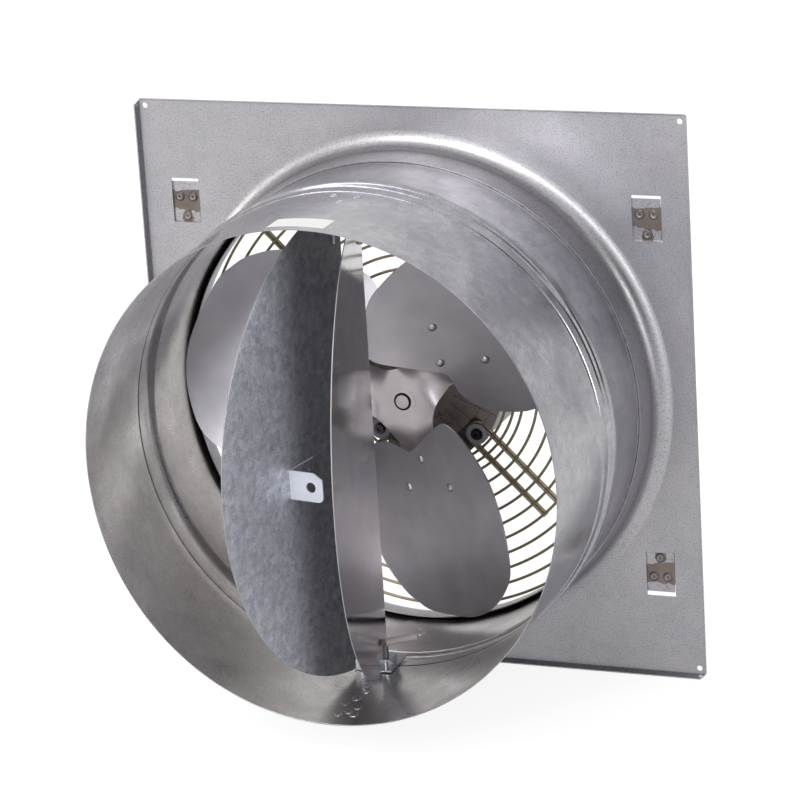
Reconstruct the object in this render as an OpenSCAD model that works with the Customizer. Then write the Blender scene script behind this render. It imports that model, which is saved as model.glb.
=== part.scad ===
// Ducted exhaust fan with a square wall plate and two half-round damper plates.
// X runs right, Y from the outlet to the inlet and Z up. The fan turns about Y.
// Inside the modules the outlet faces up: sizes named _l are distances ahead of the plate's face.

/* [Wall plate] */
// Width and height between the creases of the lips
plate_w = 500; // [490:5:540]
// Sheet thickness of the plate and its collar
plate_t = 1; // [0.8:0.1:1.2]
// Depth of the bent lips
lip_depth = 6.2; // [4:0.2:9]
// Outward flare of the lips
lip_flare = 2; // [1:0.5:4]
// Length by which each lip is cut back at its free edge's ends
lip_cut = 3; // [2:0.5:8]
// Diameter of the four wall bolt holes
bolt_hole_d = 5; // [4:0.5:6]
// Distance of the bolt holes from the creases
bolt_inset = 5; // [5:0.5:9]

/* [Tabs for the guard] */
// Distance of the tab windows' centres from the side creases
tab_in_x = 37.5; // [36:0.5:38]
// Distance of the tab windows' centres from the top and bottom creases
tab_in_y = 90.5; // [86:0.5:94]
// Width of a tab window
tab_w = 27; // [24:1:28]
// Height of a tab window
tab_h = 41; // [38:1:44]
// Depth of the tabs behind the plate's face
tab_drop = 2; // [1.5:0.5:3]
// Open slot at the outer end of a tab
tab_slot = 3.3; // [2:0.1:5]
// Open slit along the right side of a tab, seen from the outlet
tab_slit = 1.2; // [0.6:0.2:2]

/* [Collar and throat] */
// Length of the collar ahead of the plate
collar_len = 36; // [33:1:44]
// Fillet between the plate and the collar
collar_fillet = 15; // [12:1:16]
// Growth of the collar's radius from its tip to its root
collar_taper = 3; // [2:0.5:4]
// Step from the duct wall in to the throat
throat_step = 5; // [4:0.5:7]
// Radius of the throat's bell mouth
throat_bell = 20; // [17:1:20]
// Straight length of the throat ahead of its bell
throat_lip = 10; // [6:1:12]

/* [Duct] */
// Inside diameter of the duct
duct_d = 420; // [404:2:422]
// Sheet thickness of the duct rings
duct_t = 0.8; // [0.6:0.1:1]
// Distance from the plate to the outlet rim
duct_len = 254; // [240:2:320]
// Distance from the plate to the outside joint of the two rings
joint_l = 124.5; // [120:0.5:126]
// Width of the rolled bead behind the joint
bead_w = 24; // [18:1:28]
// Height of the rolled bead
bead_h = 3.5; // [2:0.5:5]
// Distance from the plate to the rear ring's hidden end
ring_start_l = 24; // [23:0.5:28]
// Length of the rear ring's spigot inside the front duct
spigot_len = 9.5; // [6:0.5:11]

/* [Dampers] */
// Gap between the damper rims and the duct wall
damper_gap = 4; // [3.5:0.5:8]
// Sheet thickness of the damper plates
damper_t = 0.8; // [0.6:0.1:1.2]
// Half of the gap between the closed dampers
centre_gap = 2; // [2:0.5:4]
// Distance of a pivot from its damper's straight edge
pivot_inset = 9; // [7:0.5:10]
// Distance from the plate to the closed dampers
pivot_l = 148.5; // [147:0.5:170]
// Diameter of the damper pins
pin_d = 4; // [3:0.5:5]
// Angle from closed at which the left damper rests, seen from the outlet
left_open = 80.7; // [60:0.1:82]
// Angle from closed at which the right damper rests
right_open = 77.6; // [60:0.1:82]

/* [Impeller] */
// Gap between the blade tips and the throat
tip_gap = 3.5; // [3:0.5:8]
// Pitch of the blades
blade_pitch = 30; // [26:1:31]
// Sheet thickness of the blades
blade_t = 1.4; // [1:0.1:2]
// Camber radius of the blades
blade_camber = 1000; // [900:50:1500]
// Distance from the plate to the hub's front face
hub_l = 45.5; // [44:0.5:52]
// Sheet thickness of the pressed hub
hub_t = 2.5; // [2:0.5:3]
// Radius of the hub's round middle
hub_r = 29; // [27:1:31]
// Half width of the hub's arms
hub_arm_w = 21; // [18:1:22]
// Turn of the blades at rest
impeller_angle = 44.5; // [0:0.5:120]

/* [Motor] */
// Diameter of the motor
motor_d = 144; // [136:1:146]
// Diameter of the motor shaft
shaft_d = 12; // [10:1:14]
// Length of the motor's sheet sleeve
sleeve_len = 65; // [60:1:90]
// Running gap between rotor and stator
air_gap = 0.5; // [0.4:0.1:1]

/* [Guard] */
// Wire diameter of the guard rings
ring_wire_d = 2.6; // [2:0.1:3]
// Wire diameter of the guard arms
arm_wire_d = 3; // [2.6:0.1:3.2]
// Pitch of the guard rings
ring_pitch = 13; // [12:0.5:16]
// Distance of the ring plane behind the plate's face
guard_back = 11; // [10:0.5:14]

/* [Hidden] */
$fn = 120;

// Extra length of every cut past the surface it leaves
over = 1;
// Clearance of a press or slide seat within one body
seat_clear = 0.05;
// Clearance of a running shaft in its bearing
run_clear = 0.03;
// Clearance of a pin in its bracket hole
pin_clear = 0.08;
// Clearance between parts that come close without touching
near_clear = 0.3;

// Radii of the duct and what fits in it
duct_r = duct_d / 2;
duct_or = duct_r + duct_t;
collar_tip_r = duct_or + near_clear;
collar_root_r = collar_tip_r + collar_taper;
fillet_c_r = collar_root_r + plate_t + collar_fillet;
throat_r = duct_r - throat_step;
tip_r = throat_r - tip_gap;
damper_r = duct_r - damper_gap;

// Bell and flange of the throat
throat_t = plate_t;
bell_c_r = throat_r + throat_bell;
bell_c_l = throat_bell - plate_t - throat_t;
throat_flange_lap = 8;
throat_flange_r = fillet_c_r + throat_flange_lap;

// Joint of the two duct rings
bead_rise = 6;
flare_len = 3;
tail_len = spigot_len + flare_len;
tail_gap = 0.2;

// Lapped seam of the duct rings and its clinches, which are pressed in
lap_from_angle = -93.8;
lap_turn = 11.8;
lap_bite_share = 0.5;
clinch_r = 4;
clinch_in_r = 2.4;
clinch_h = 0.6;
front_clinch_turns = [-88.3, -87, -87.7, -89.2, -85.3, -86.5, -88.3, -84.5];
front_clinch_shares = [0.732, 0.768, 0.835, 0.882, 0.909, 0.949, 0.975, 0.975];
rear_clinch_turns = [-89, -87.6];
rear_clinch_shares = [0.177, 0.232];
top_clinch_turns = [92.4, 86.7, 89.1];
top_clinch_shares = [0.583, 0.587, 0.657];

// Label without print on top of the duct
label_w = 50;
label_len = 25;
label_t = 0.1;
label_back = 9;
label_turn = 91.2;

// Tabs and what they hold
tab_x = plate_w / 2 - tab_in_x;
tab_y = plate_w / 2 - tab_in_y;
tab_len = tab_h - tab_slot;
dimple_r = 4;
dimple_in_r = 1.8;
dimple_h = 0.7;
dimple_side = 6.3;
dimple_up = 3.5;
dimple_down = 14;

// Guard rings and arms
guard_lap = 3;
guard_r = throat_r + guard_lap;
motor_r = motor_d / 2;
inner_ring_gap = 4;
inner_ring_r = motor_r + inner_ring_gap;
ring_count = floor((guard_r - inner_ring_r) / ring_pitch);
last_ring_r = guard_r - (ring_count - 1) * ring_pitch;
mid_ring_r = (inner_ring_r + last_ring_r) / 2;
touch_gap = 0.05;
arm_back = guard_back + ring_wire_d / 2 + arm_wire_d / 2 + touch_gap;
short_ring = 4;
short_over = 2;
short_r = guard_r - short_ring * ring_pitch + short_over;
bend_over = 7;
bend_r = guard_r + bend_over;

// Clips that hold the arms' ends under the tabs
clip_t = 0.8;
clip_w = 27;
clip_foot = 11;
clip_down = 4.5;
clip_wire_y = tab_y - clip_down;
clip_entry = 2;
clip_over = 2;
clip_wire_back = tab_drop + plate_t + arm_wire_d / 2 + touch_gap;
clip_spread = 0.3;
clip_half = arm_wire_d + clip_spread + seat_clear;

// Rubber mounts of the motor
mount_in = 7.7;
mount_r = motor_r - mount_in;
groove_r = 5.9;
grommet_r = 9.5;
grommet_flange = 2;
grommet_bore_r = 2.6;
grommet_face_r = 5.6;
grommet_face_deep = 1;
mount_bolt_r = 2.5;
mount_head_r = 4.2;
mount_head_h = 3;
mount_socket_r = 2;
mount_socket_deep = 1.8;
mount_washer_r = 5.4;
mount_washer_t = 0.8;
mount_nut_r = 4.6;
mount_nut_h = 4;
mount_bolt_tail = 1.5;
groove_front = arm_back - arm_wire_d / 2 - touch_gap;
groove_back = arm_back + arm_wire_d / 2 + touch_gap;
grommet_front = groove_front - grommet_flange;
pocket_back = groove_back + grommet_flange;

// Cast front and rear shields of the motor
shield_back = 8;
shield_face_t = 4;
shield_wall = 3.6;
shield_len = 22;
rib_h = 2;
rib_t = 1.6;
rib_count = 24;
rib_ring_shares = [0.46, 0.6, 0.74, 0.88];
rib_from_share = 0.4;
ear_t = 4;
ear_wall = 2;
pocket_half = 13.5;
pocket_in_r = mount_r - groove_r - 2 * arm_wire_d - 2 * near_clear;
boss_r = 20;
bearing_r = 16;
bearing_w = 10;
bearing_race = 2.6;
bearing_in = 5;
bearing_groove = 0.8;
shaft_hole_gap = 2;
sleeve_t = 2;
sleeve_front = shield_back + shield_len;
sleeve_back = sleeve_front + sleeve_len;
rear_back = sleeve_back + shield_len;
front_bearing_back = shield_back + bearing_in;
rear_bearing_back = rear_back - bearing_in;
shaft_r = shaft_d / 2;
through_bolt_r = 2;
through_head_r = 3.8;
through_head_h = 2.5;
through_in = 7;
through_r = motor_r - through_in;
through_gap = 0.3;
through_boss_r = 4.5;

// Stator and rotor
core_end_gap = 13;
rotor_r = 39.5;
winding_in = 3;
winding_out_gap = 4.5;
winding_gap = 2;
rotor_over = 1;

// Terminal box behind the motor
box_w = 76;
box_h = 56;
box_deep = 30;
box_wall = 2;
lid_t = 2;
post_r = 4;
post_in = 5.5;
screw_r = 1.5;
screw_head_r = 3;
screw_head_h = 1.8;
screw_len = 12;
cap_r = 12.5;
cap_len = 52;
gland_r = 6;
gland_flange_r = 10;
gland_flange_t = 5;
gland_dome_r = 8;
gland_dome_len = 9;
gland_bore_r = 3.5;
gland_nut_t = 3;
box_back = rear_back + box_deep;

// Damper hinges
pivot_x = centre_gap + pivot_inset;
pin_r = pin_d / 2;
knuckle_t = 1.2;
knuckle_r = pin_r + knuckle_t;
knuckle_len = 14;
notch_w = 20;
notch_gap = 0.5;
bracket_t = 1.2;
bracket_half = 17;
top_seat_y = sqrt(pow(duct_r, 2) - pow(bracket_half, 2)) - touch_gap;
bottom_seat_y = sqrt(pow(duct_r - duct_t, 2) - pow(bracket_half, 2)) - touch_gap;
top_drop = 21;
bottom_drop = 9;
top_ear_y = bottom_seat_y - bracket_t - top_drop;
bottom_ear_y = bottom_seat_y - bracket_t - bottom_drop;
web_behind = 12.3;
ear_ahead = 4.5;
top_base_ahead = 26.5;
bottom_base_behind = 37.5;
pin_end_y = bottom_seat_y - bracket_t / 2;
pin_start = 1;

// Stop tubes on the dampers
tube_r = 3.5;
tube_bore_r = 2.5;
tube_len = 28.5;
tube_y = -178;
tube_along = 13.4;
tube_lean = 32;

// Drilled lug on the left damper
lug_at = 102;
lug_out = 31.6;
lug_h = 25;
lug_top = 1.5;
lug_t = 1.5;
lug_foot = 37;
lug_hole_r = 4.5;
lug_hole_out = 20.4;
lug_hole_down = 12.7;
lug_cut_out = 8.5;
lug_cut_down = 5.5;
lug_round = 5;
lug_rivet_r = 1.6;
lug_rivet_head_r = 3;
lug_rivet_head_h = 1;
lug_rivet_in = 5.6;
lug_rivet_down = 8.2;

// Hub arms turn from flat to the blade pitch between these radii
twist_inset = 2.1;
twist_from = hub_r - twist_inset;
twist_len = 13;
twist_rows = 8;
arm_root = 6;
arm_sink = 0.3;
pad_root = 3;
pad_proud = 1;
pad_len = 48;
pad_half = 34;
pad_round = 12;
bush_r = 11.5;
bush_proud = 0.4;
bush_len = 24;
bush_ring_r = 8;
bush_ring_deep = 3;
shaft_ahead = 1.5;
set_screw_r = 2.5;
set_screw_back = 14;

// Blades
blade_turns = [0, 120, 240];
rivet_r = 2.4;
rivet_head_r = 4.2;
rivet_head_h = 1.7;
rivet_place_shares = [[0.263, 0.005], [0.392, -0.119], [0.392, 0.134]];
blade_outline_shares = [
    [0.168, 0.068], [0.104, 0.19], [0.114, 0.248], [0.174, 0.313], [0.268, 0.367],
    [0.357, 0.402], [0.447, 0.412], [0.581, 0.407], [0.769, 0.362], [0.883, 0.268],
    [0.968, 0.139], [1, 0], [0.978, -0.199], [0.933, -0.278], [0.873, -0.337],
    [0.744, -0.397], [0.546, -0.427], [0.333, -0.407], [0.223, -0.313], [0.186, -0.238],
    [0.184, -0.154], [0.212, -0.094], [0.231, -0.05], [0.216, -0.012]
];
outline_steps = 4;
camber_fn = 1800;
// Half depth of the block that each blade is cut from
blade_room = 20;

// Point on a smooth closed curve through p at place i, t between that point and the next
function curve_point(p, i, t) =
    let (n = len(p), a = p[(i + n - 1) % n], b = p[i], c = p[(i + 1) % n], d = p[(i + 2) % n])
    (2 * b + (c - a) * t + (2 * a - 5 * b + 4 * c - d) * t * t
        + (3 * b - a - 3 * c + d) * t * t * t) / 2;
function smooth_outline(p, steps) =
    [for (i = [0 : len(p) - 1]) for (k = [0 : steps - 1]) curve_point(p, i, k / steps)];
function ease(t) = t * t * (3 - 2 * t);

module about_fan() { rotate([90, 0, 0]) children(); }

module quadrants() {
    for (sx = [0 : 1]) for (sy = [0 : 1]) mirror([sx, 0, 0]) mirror([0, sy, 0]) children();
}

// Hollow round sleeve between two distances ahead of the plate
module sleeve(outer_r, inner_r, from_l, to_l) {
    translate([0, 0, from_l]) difference() {
        cylinder(r = outer_r, h = to_l - from_l);
        translate([0, 0, -over]) cylinder(r = inner_r, h = to_l - from_l + 2 * over);
    }
}

// Quarter of a bent sheet, as a profile: it leaves the flat at l = 0 and ends level with its centre
module quarter_bend(centre_r, centre_l, bend_r, t) {
    translate([centre_r, centre_l]) intersection() {
        difference() {
            circle(r = bend_r + t);
            circle(r = bend_r);
        }
        translate([-bend_r - t, -bend_r - t]) square(bend_r + t);
    }
}

module rod(a, b, r) {
    d = b - a;
    translate(a) rotate([0, acos(d[2] / norm(d)), atan2(d[1], d[0])]) cylinder(r = r, h = norm(d));
}

// Half-round boss with a true round foot, standing on z = 0
module rivet_head(r, h) {
    ball_r = (r * r + h * h) / (2 * h);
    intersection() {
        cylinder(r = r, h = h);
        translate([0, 0, h - ball_r]) sphere(r = ball_r);
    }
}

// Raised ring of a clinch or dimple, standing on z = 0 and sunk into its sheet
module ring_mark(r, in_r, h, sunk) {
    translate([0, 0, -sunk]) difference() {
        cylinder(r1 = r, r2 = (r + in_r) / 2, h = h + sunk);
        translate([0, 0, -over]) cylinder(r = in_r, h = h + sunk + 2 * over);
    }
}

// Clinches on a duct wall: facing -90 raises them inwards and 90 outwards
module clinches(turns, shares, wall_r, facing) {
    for (i = [0 : len(turns) - 1])
        rotate([0, 0, turns[i]])
            translate([wall_r, 0, shares[i] * duct_len])
                rotate([0, facing, 0])
                    ring_mark(clinch_r, clinch_in_r, clinch_h, duct_t / 2);
}

// Lip at plus X, whose ends are cut back towards its free edge
module lip() {
    half = plate_w / 2;
    intersection() {
        rotate([90, 0, 0]) linear_extrude(height = plate_w, center = true) polygon([
            [half - plate_t, 0],
            [half - plate_t, -plate_t],
            [half + plate_t, -plate_t],
            [half + plate_t + lip_flare, lip_depth],
            [half + lip_flare, lip_depth],
            [half, 0]
        ]);
        rotate([90, 0, 90]) linear_extrude(height = plate_w) polygon([
            [-half, -plate_t],
            [half, -plate_t],
            [half, 0],
            [half - lip_cut, lip_depth],
            [lip_cut - half, lip_depth],
            [-half, 0]
        ]);
    }
}

module at_tabs() {
    for (side = [-1, 1]) for (low = [0 : 1])
        mirror([0, low, 0]) translate([side * tab_x, tab_y, 0]) children();
}

// Tab of one corner, seen from its window's centre and joined at its left and its inner end
module tab() {
    translate([-tab_w / 2, -tab_h / 2, -tab_drop - plate_t]) {
        cube([tab_w - tab_slit, tab_len, plate_t]);
        cube([plate_t, tab_len, tab_drop + plate_t]);
        cube([tab_w - tab_slit, plate_t, tab_drop + plate_t]);
    }
    for (p = [[-dimple_side, dimple_up], [dimple_side, dimple_up], [0, -dimple_down]])
        translate([p[0], p[1], -tab_drop]) ring_mark(dimple_r, dimple_in_r, dimple_h, plate_t / 2);
}

module wall_plate() {
    color("silver") about_fan() {
        difference() {
            translate([-plate_w / 2, -plate_w / 2, -plate_t]) cube([plate_w, plate_w, plate_t]);
            translate([0, 0, -plate_t - over]) cylinder(r = fillet_c_r, h = plate_t + 2 * over);
            at_tabs() translate([-tab_w / 2 + plate_t, -tab_h / 2, -plate_t - over])
                cube([tab_w - plate_t, tab_h, plate_t + 2 * over]);
            quadrants() translate([plate_w / 2 - bolt_inset, plate_w / 2 - bolt_inset, -plate_t - over])
                cylinder(d = bolt_hole_d, h = plate_t + 2 * over);
        }
        for (a = [0 : 90 : 270]) rotate([0, 0, a]) lip();
        at_tabs() tab();
        rotate_extrude() {
            quarter_bend(fillet_c_r, collar_fillet, collar_fillet, plate_t);
            polygon([
                [collar_root_r, collar_fillet],
                [collar_root_r + plate_t, collar_fillet],
                [collar_tip_r + plate_t, collar_len],
                [collar_tip_r, collar_len]
            ]);
        }
    }
}

module throat_ring() {
    color("silver") about_fan() rotate_extrude() {
        quarter_bend(bell_c_r, bell_c_l, throat_bell - throat_t, throat_t);
        translate([bell_c_r, -plate_t - throat_t]) square([throat_flange_r - bell_c_r, throat_t]);
        translate([throat_r, bell_c_l]) square([throat_t, throat_lip]);
    }
}

// Inner layer of a ring's lapped seam, which bites into the wall outside it
module duct_lap(from_l, to_l) {
    translate([0, 0, from_l]) rotate([0, 0, lap_from_angle]) rotate_extrude(angle = lap_turn)
        translate([duct_r - duct_t, 0]) square([(1 + lap_bite_share) * duct_t, to_l - from_l]);
}

module duct_rear_ring() {
    bead_from = joint_l - bead_w;
    color("gainsboro") about_fan() {
        rotate_extrude() polygon([
            [duct_r, ring_start_l],
            [duct_or, ring_start_l],
            [duct_or, bead_from],
            [duct_or + bead_h, bead_from + bead_rise],
            [duct_or + bead_h, joint_l - bead_rise],
            [duct_or + duct_t + tail_gap, joint_l],
            [duct_or, joint_l],
            [duct_or, joint_l + spigot_len],
            [duct_r, joint_l + spigot_len],
            [duct_r, joint_l],
            [duct_r + bead_h, joint_l - bead_rise],
            [duct_r + bead_h, bead_from + bead_rise],
            [duct_r, bead_from]
        ]);
        duct_lap(ring_start_l, bead_from);
        clinches(rear_clinch_turns, rear_clinch_shares, duct_r - duct_t, -90);
    }
}

module duct_front() {
    tail_end = joint_l + tail_len;
    color("gainsboro") about_fan() {
        rotate_extrude() polygon([
            [duct_or + tail_gap, joint_l],
            [duct_or + tail_gap + duct_t, joint_l],
            [duct_or + tail_gap + duct_t, joint_l + spigot_len + tail_gap],
            [duct_or, tail_end + tail_gap],
            [duct_or, duct_len],
            [duct_r, duct_len],
            [duct_r, tail_end + tail_gap],
            [duct_or + tail_gap, joint_l + spigot_len + tail_gap]
        ]);
        duct_lap(tail_end + tail_gap, duct_len);
        clinches(front_clinch_turns, front_clinch_shares, duct_r - duct_t, -90);
        clinches(top_clinch_turns, top_clinch_shares, duct_or, 90);
    }
}

module blank_label() {
    turn = label_w / duct_or * 180 / PI;
    color("white") about_fan() translate([0, 0, duct_len - label_back - label_len])
        rotate([0, 0, label_turn - turn / 2]) rotate_extrude(angle = turn)
            translate([duct_or + touch_gap, 0]) square([label_t, label_len]);
}

module guard_ring(r) {
    rotate_extrude() translate([r, 0]) circle(d = ring_wire_d, $fn = 24);
}

module guard_rings() {
    color("dimgray") about_fan() translate([0, 0, -guard_back]) {
        for (i = [0 : ring_count - 1]) guard_ring(guard_r - i * ring_pitch);
        guard_ring(mid_ring_r);
        guard_ring(inner_ring_r);
    }
}

// One bent wire of an arm; place 0 hugs the rubber mount and place 1 lies outside it
module arm_wire(place) {
    u = groove_r + touch_gap + arm_wire_d / 2 + place * (arm_wire_d + touch_gap);
    wire_r = arm_wire_d / 2;
    entry_y = clip_wire_y + (1 - 2 * place) * (wire_r + clip_spread);
    bend_x = sqrt(bend_r * bend_r - u * u);
    bend = [(bend_x + u) / sqrt(2), (bend_x - u) / sqrt(2), -arm_back];
    entry = [tab_x - clip_w / 2 - clip_entry, entry_y, -clip_wire_back];
    wire_end = [tab_x + clip_w / 2 + clip_over, entry_y, -clip_wire_back];
    rotate([0, 0, 45]) translate([0, 0, -arm_back]) {
        translate([mount_r, 0, 0]) rotate([0, 0, 90]) rotate_extrude(angle = 180)
            translate([u, 0]) circle(r = wire_r, $fn = 24);
        translate([mount_r, u, 0]) rotate([0, 90, 0])
            cylinder(r = wire_r, h = sqrt(short_r * short_r - u * u) - mount_r);
        translate([mount_r, -u, 0]) rotate([0, 90, 0])
            cylinder(r = wire_r, h = bend_x - mount_r);
    }
    translate(bend) sphere(r = wire_r + touch_gap);
    rod(bend, entry, wire_r);
    translate(entry) sphere(r = wire_r + touch_gap);
    rod(entry, wire_end, wire_r);
}

module guard_arms() {
    color("dimgray") about_fan() quadrants() for (place = [0 : 1]) arm_wire(place);
}

module guard_clips() {
    top = -tab_drop - plate_t;
    rise = arm_wire_d + 2 * touch_gap;
    color("darkgray") about_fan() quadrants()
        translate([tab_x - clip_w / 2, clip_wire_y, top])
            rotate([90, 0, 90]) linear_extrude(height = clip_w) polygon([
                [-clip_half - clip_foot, 0],
                [-clip_half - clip_foot, -clip_t],
                [-clip_half - clip_t, -clip_t],
                [-clip_half - clip_t, -rise - clip_t],
                [clip_half + clip_t, -rise - clip_t],
                [clip_half + clip_t, -clip_t],
                [clip_half + clip_foot, -clip_t],
                [clip_half + clip_foot, 0],
                [clip_half, 0],
                [clip_half, -rise],
                [-clip_half, -rise],
                [-clip_half, 0]
            ]);
}

module at_mounts() {
    for (a = [45 : 90 : 315]) rotate([0, 0, a]) translate([mount_r, 0, 0]) children();
}

module mount_grommets() {
    groove = groove_back - groove_front;
    color("black") about_fan() at_mounts() translate([0, 0, -pocket_back]) difference() {
        union() {
            cylinder(r = grommet_r, h = grommet_flange);
            cylinder(r = groove_r, h = pocket_back - grommet_front);
            translate([0, 0, grommet_flange + groove]) cylinder(r = grommet_r, h = grommet_flange);
        }
        translate([0, 0, -over]) cylinder(r = grommet_bore_r, h = pocket_back + over);
        translate([0, 0, pocket_back - grommet_front - grommet_face_deep])
            cylinder(r = grommet_face_r, h = grommet_face_deep + over);
    }
}

module mount_bolts() {
    seat_l = -grommet_front - grommet_face_deep;
    tail_l = -pocket_back - ear_t - mount_nut_h - mount_bolt_tail;
    color("darkgray") about_fan() at_mounts() difference() {
        union() {
            translate([0, 0, tail_l]) cylinder(r = mount_bolt_r, h = seat_l - tail_l);
            translate([0, 0, seat_l]) cylinder(r = mount_washer_r, h = mount_washer_t);
            translate([0, 0, seat_l + mount_washer_t]) cylinder(r = mount_head_r, h = mount_head_h);
        }
        translate([0, 0, seat_l + mount_washer_t + mount_head_h - mount_socket_deep])
            cylinder(r = mount_socket_r, h = mount_socket_deep + over, $fn = 6);
    }
}

module mount_nuts() {
    color("darkgray") about_fan() at_mounts()
        translate([0, 0, -pocket_back - ear_t - mount_nut_h]) rotate([0, 0, 30]) difference() {
            cylinder(r = mount_nut_r, h = mount_nut_h, $fn = 6);
            translate([0, 0, -over]) cylinder(r = mount_bolt_r + seat_clear, h = mount_nut_h + 2 * over);
        }
}

// Round, ribbed or plain shield cup: face at z = 0, open towards minus z
module shield_cup() {
    difference() {
        translate([0, 0, -shield_len]) cylinder(r = motor_r, h = shield_len);
        translate([0, 0, -shield_len - over])
            cylinder(r = motor_r - shield_wall, h = shield_len - shield_face_t + over);
    }
    translate([0, 0, -bearing_in - bearing_w]) cylinder(r = boss_r, h = bearing_in + bearing_w);
}

module shield_bores() {
    translate([0, 0, -bearing_in - bearing_w - over])
        cylinder(r = bearing_r + seat_clear, h = bearing_w + over);
    translate([0, 0, -shield_len]) cylinder(r = shaft_r + shaft_hole_gap, h = shield_len + rib_h + over);
}

module at_through_bolts() {
    for (a = [0 : 90 : 270]) rotate([0, 0, a]) translate([through_r, 0, 0]) children();
}

module motor_front_shield() {
    pocket_deep = pocket_back - shield_back;
    color("dimgray") about_fan() translate([0, 0, -shield_back]) difference() {
        union() {
            shield_cup();
            for (s = rib_ring_shares)
                sleeve(s * motor_r + rib_t / 2, s * motor_r - rib_t / 2, -shield_face_t / 2, rib_h);
            for (i = [0 : rib_count - 1]) rotate([0, 0, (i + 0.5) * 360 / rib_count])
                translate([rib_from_share * motor_r, -rib_t / 2, -shield_face_t / 2])
                    cube([(1 - rib_from_share) * motor_r - rib_t, rib_t, shield_face_t / 2 + rib_h]);
            sleeve(boss_r, shaft_r + shaft_hole_gap, -shield_face_t, rib_h);
            intersection() {
                translate([0, 0, -pocket_deep - ear_t]) cylinder(r = motor_r, h = pocket_deep + ear_t);
                for (a = [45 : 90 : 315]) rotate([0, 0, a])
                    translate([pocket_in_r - ear_wall, -pocket_half - ear_wall, -pocket_deep - ear_t])
                        cube([motor_r, 2 * (pocket_half + ear_wall), pocket_deep + ear_t]);
            }
            at_through_bolts() translate([0, 0, -shield_len])
                cylinder(r = through_boss_r, h = shield_len - shield_face_t / 2);
        }
        shield_bores();
        for (a = [45 : 90 : 315]) rotate([0, 0, a])
            translate([pocket_in_r, -pocket_half, -pocket_deep])
                cube([motor_r, 2 * pocket_half, pocket_deep + rib_h + over]);
        at_mounts() translate([0, 0, -shield_len])
            cylinder(r = mount_bolt_r + through_gap, h = shield_len);
        at_through_bolts() translate([0, 0, -shield_len - over])
            cylinder(r = through_bolt_r + seat_clear, h = shield_len - shield_face_t + over);
        translate([0, 0, -shield_len - over]) difference() {
            cylinder(r = motor_r + through_boss_r, h = shield_len + 2 * over);
            translate([0, 0, -over]) cylinder(r = motor_r, h = shield_len + 4 * over);
        }
    }
}

module motor_sleeve() {
    color("slategray") about_fan() sleeve(motor_r, motor_r - sleeve_t, -sleeve_back, -sleeve_front);
}

module motor_rear_shield() {
    color("dimgray") about_fan() translate([0, 0, -rear_back]) mirror([0, 0, 1]) difference() {
        union() {
            shield_cup();
            intersection() {
                at_through_bolts() translate([0, 0, -shield_len])
                    cylinder(r = through_boss_r, h = shield_len - shield_face_t / 2);
                translate([0, 0, -shield_len]) cylinder(r = motor_r, h = shield_len);
            }
        }
        translate([0, 0, -bearing_in - bearing_w - over])
            cylinder(r = bearing_r + seat_clear, h = bearing_w + over);
        translate([0, 0, -bearing_in - over])
            cylinder(r = shaft_r + shaft_hole_gap, h = shaft_hole_gap + over);
        at_through_bolts() translate([0, 0, -shield_len - over])
            cylinder(r = through_bolt_r + through_gap, h = shield_len + 2 * over);
    }
}

module motor_through_bolts() {
    shank_from = -rear_back;
    shank_to = -shield_back - shield_face_t - through_gap;
    color("gray") about_fan() at_through_bolts() {
        translate([0, 0, shank_from]) cylinder(r = through_bolt_r, h = shank_to - shank_from);
        translate([0, 0, shank_from - through_head_h])
            cylinder(r = through_head_r, h = through_head_h, $fn = 6);
    }
}

module stator_core() {
    color("silver") about_fan() difference() {
        sleeve(motor_r - sleeve_t - seat_clear, rotor_r + air_gap,
            -sleeve_back + core_end_gap, -sleeve_front - core_end_gap);
        at_through_bolts() translate([0, 0, -sleeve_back])
            cylinder(r = through_bolt_r + through_gap, h = sleeve_len);
    }
}

module stator_windings() {
    in_r = rotor_r + air_gap + winding_in;
    out_r = through_r - winding_out_gap;
    color("peru") about_fan() {
        sleeve(out_r, in_r, -sleeve_front - core_end_gap, -sleeve_front - winding_gap);
        sleeve(out_r, in_r, -sleeve_back + winding_gap, -sleeve_back + core_end_gap);
    }
}

module bearing(front_l) {
    translate([0, 0, front_l - bearing_w]) difference() {
        cylinder(r = bearing_r, h = bearing_w);
        translate([0, 0, -over]) cylinder(r = shaft_r + run_clear, h = bearing_w + 2 * over);
        for (z = [-over, bearing_w - bearing_groove]) translate([0, 0, z]) difference() {
            cylinder(r = bearing_r - bearing_race, h = over + bearing_groove);
            translate([0, 0, -over]) cylinder(r = shaft_r + bearing_race, h = bearing_groove + 3 * over);
        }
    }
}

module front_bearing() { color("lightgray") about_fan() bearing(-front_bearing_back); }
module rear_bearing() { color("lightgray") about_fan() bearing(-rear_bearing_back + bearing_w); }

module terminal_box() {
    color("slategray") about_fan() translate([0, 0, -box_back]) difference() {
        union() {
            difference() {
                translate([-box_w / 2, -box_h / 2, 0]) cube([box_w, box_h, box_deep]);
                translate([-box_w / 2 + box_wall, -box_h / 2 + box_wall, -over])
                    cube([box_w - 2 * box_wall, box_h - 2 * box_wall, box_deep - box_wall + over]);
            }
            at_lid_screws() cylinder(r = post_r, h = box_deep);
        }
        at_lid_screws() translate([0, 0, -over])
            cylinder(r = screw_r + seat_clear, h = screw_len + over);
        translate([0, -box_h / 2 - over, box_deep / 2]) rotate([-90, 0, 0])
            cylinder(r = gland_r + seat_clear, h = box_wall + 2 * over);
    }
}

module at_lid_screws() {
    for (x = [-1, 1]) for (y = [-1, 1])
        translate([x * (box_w / 2 - post_in), y * (box_h / 2 - post_in), 0]) children();
}

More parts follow.
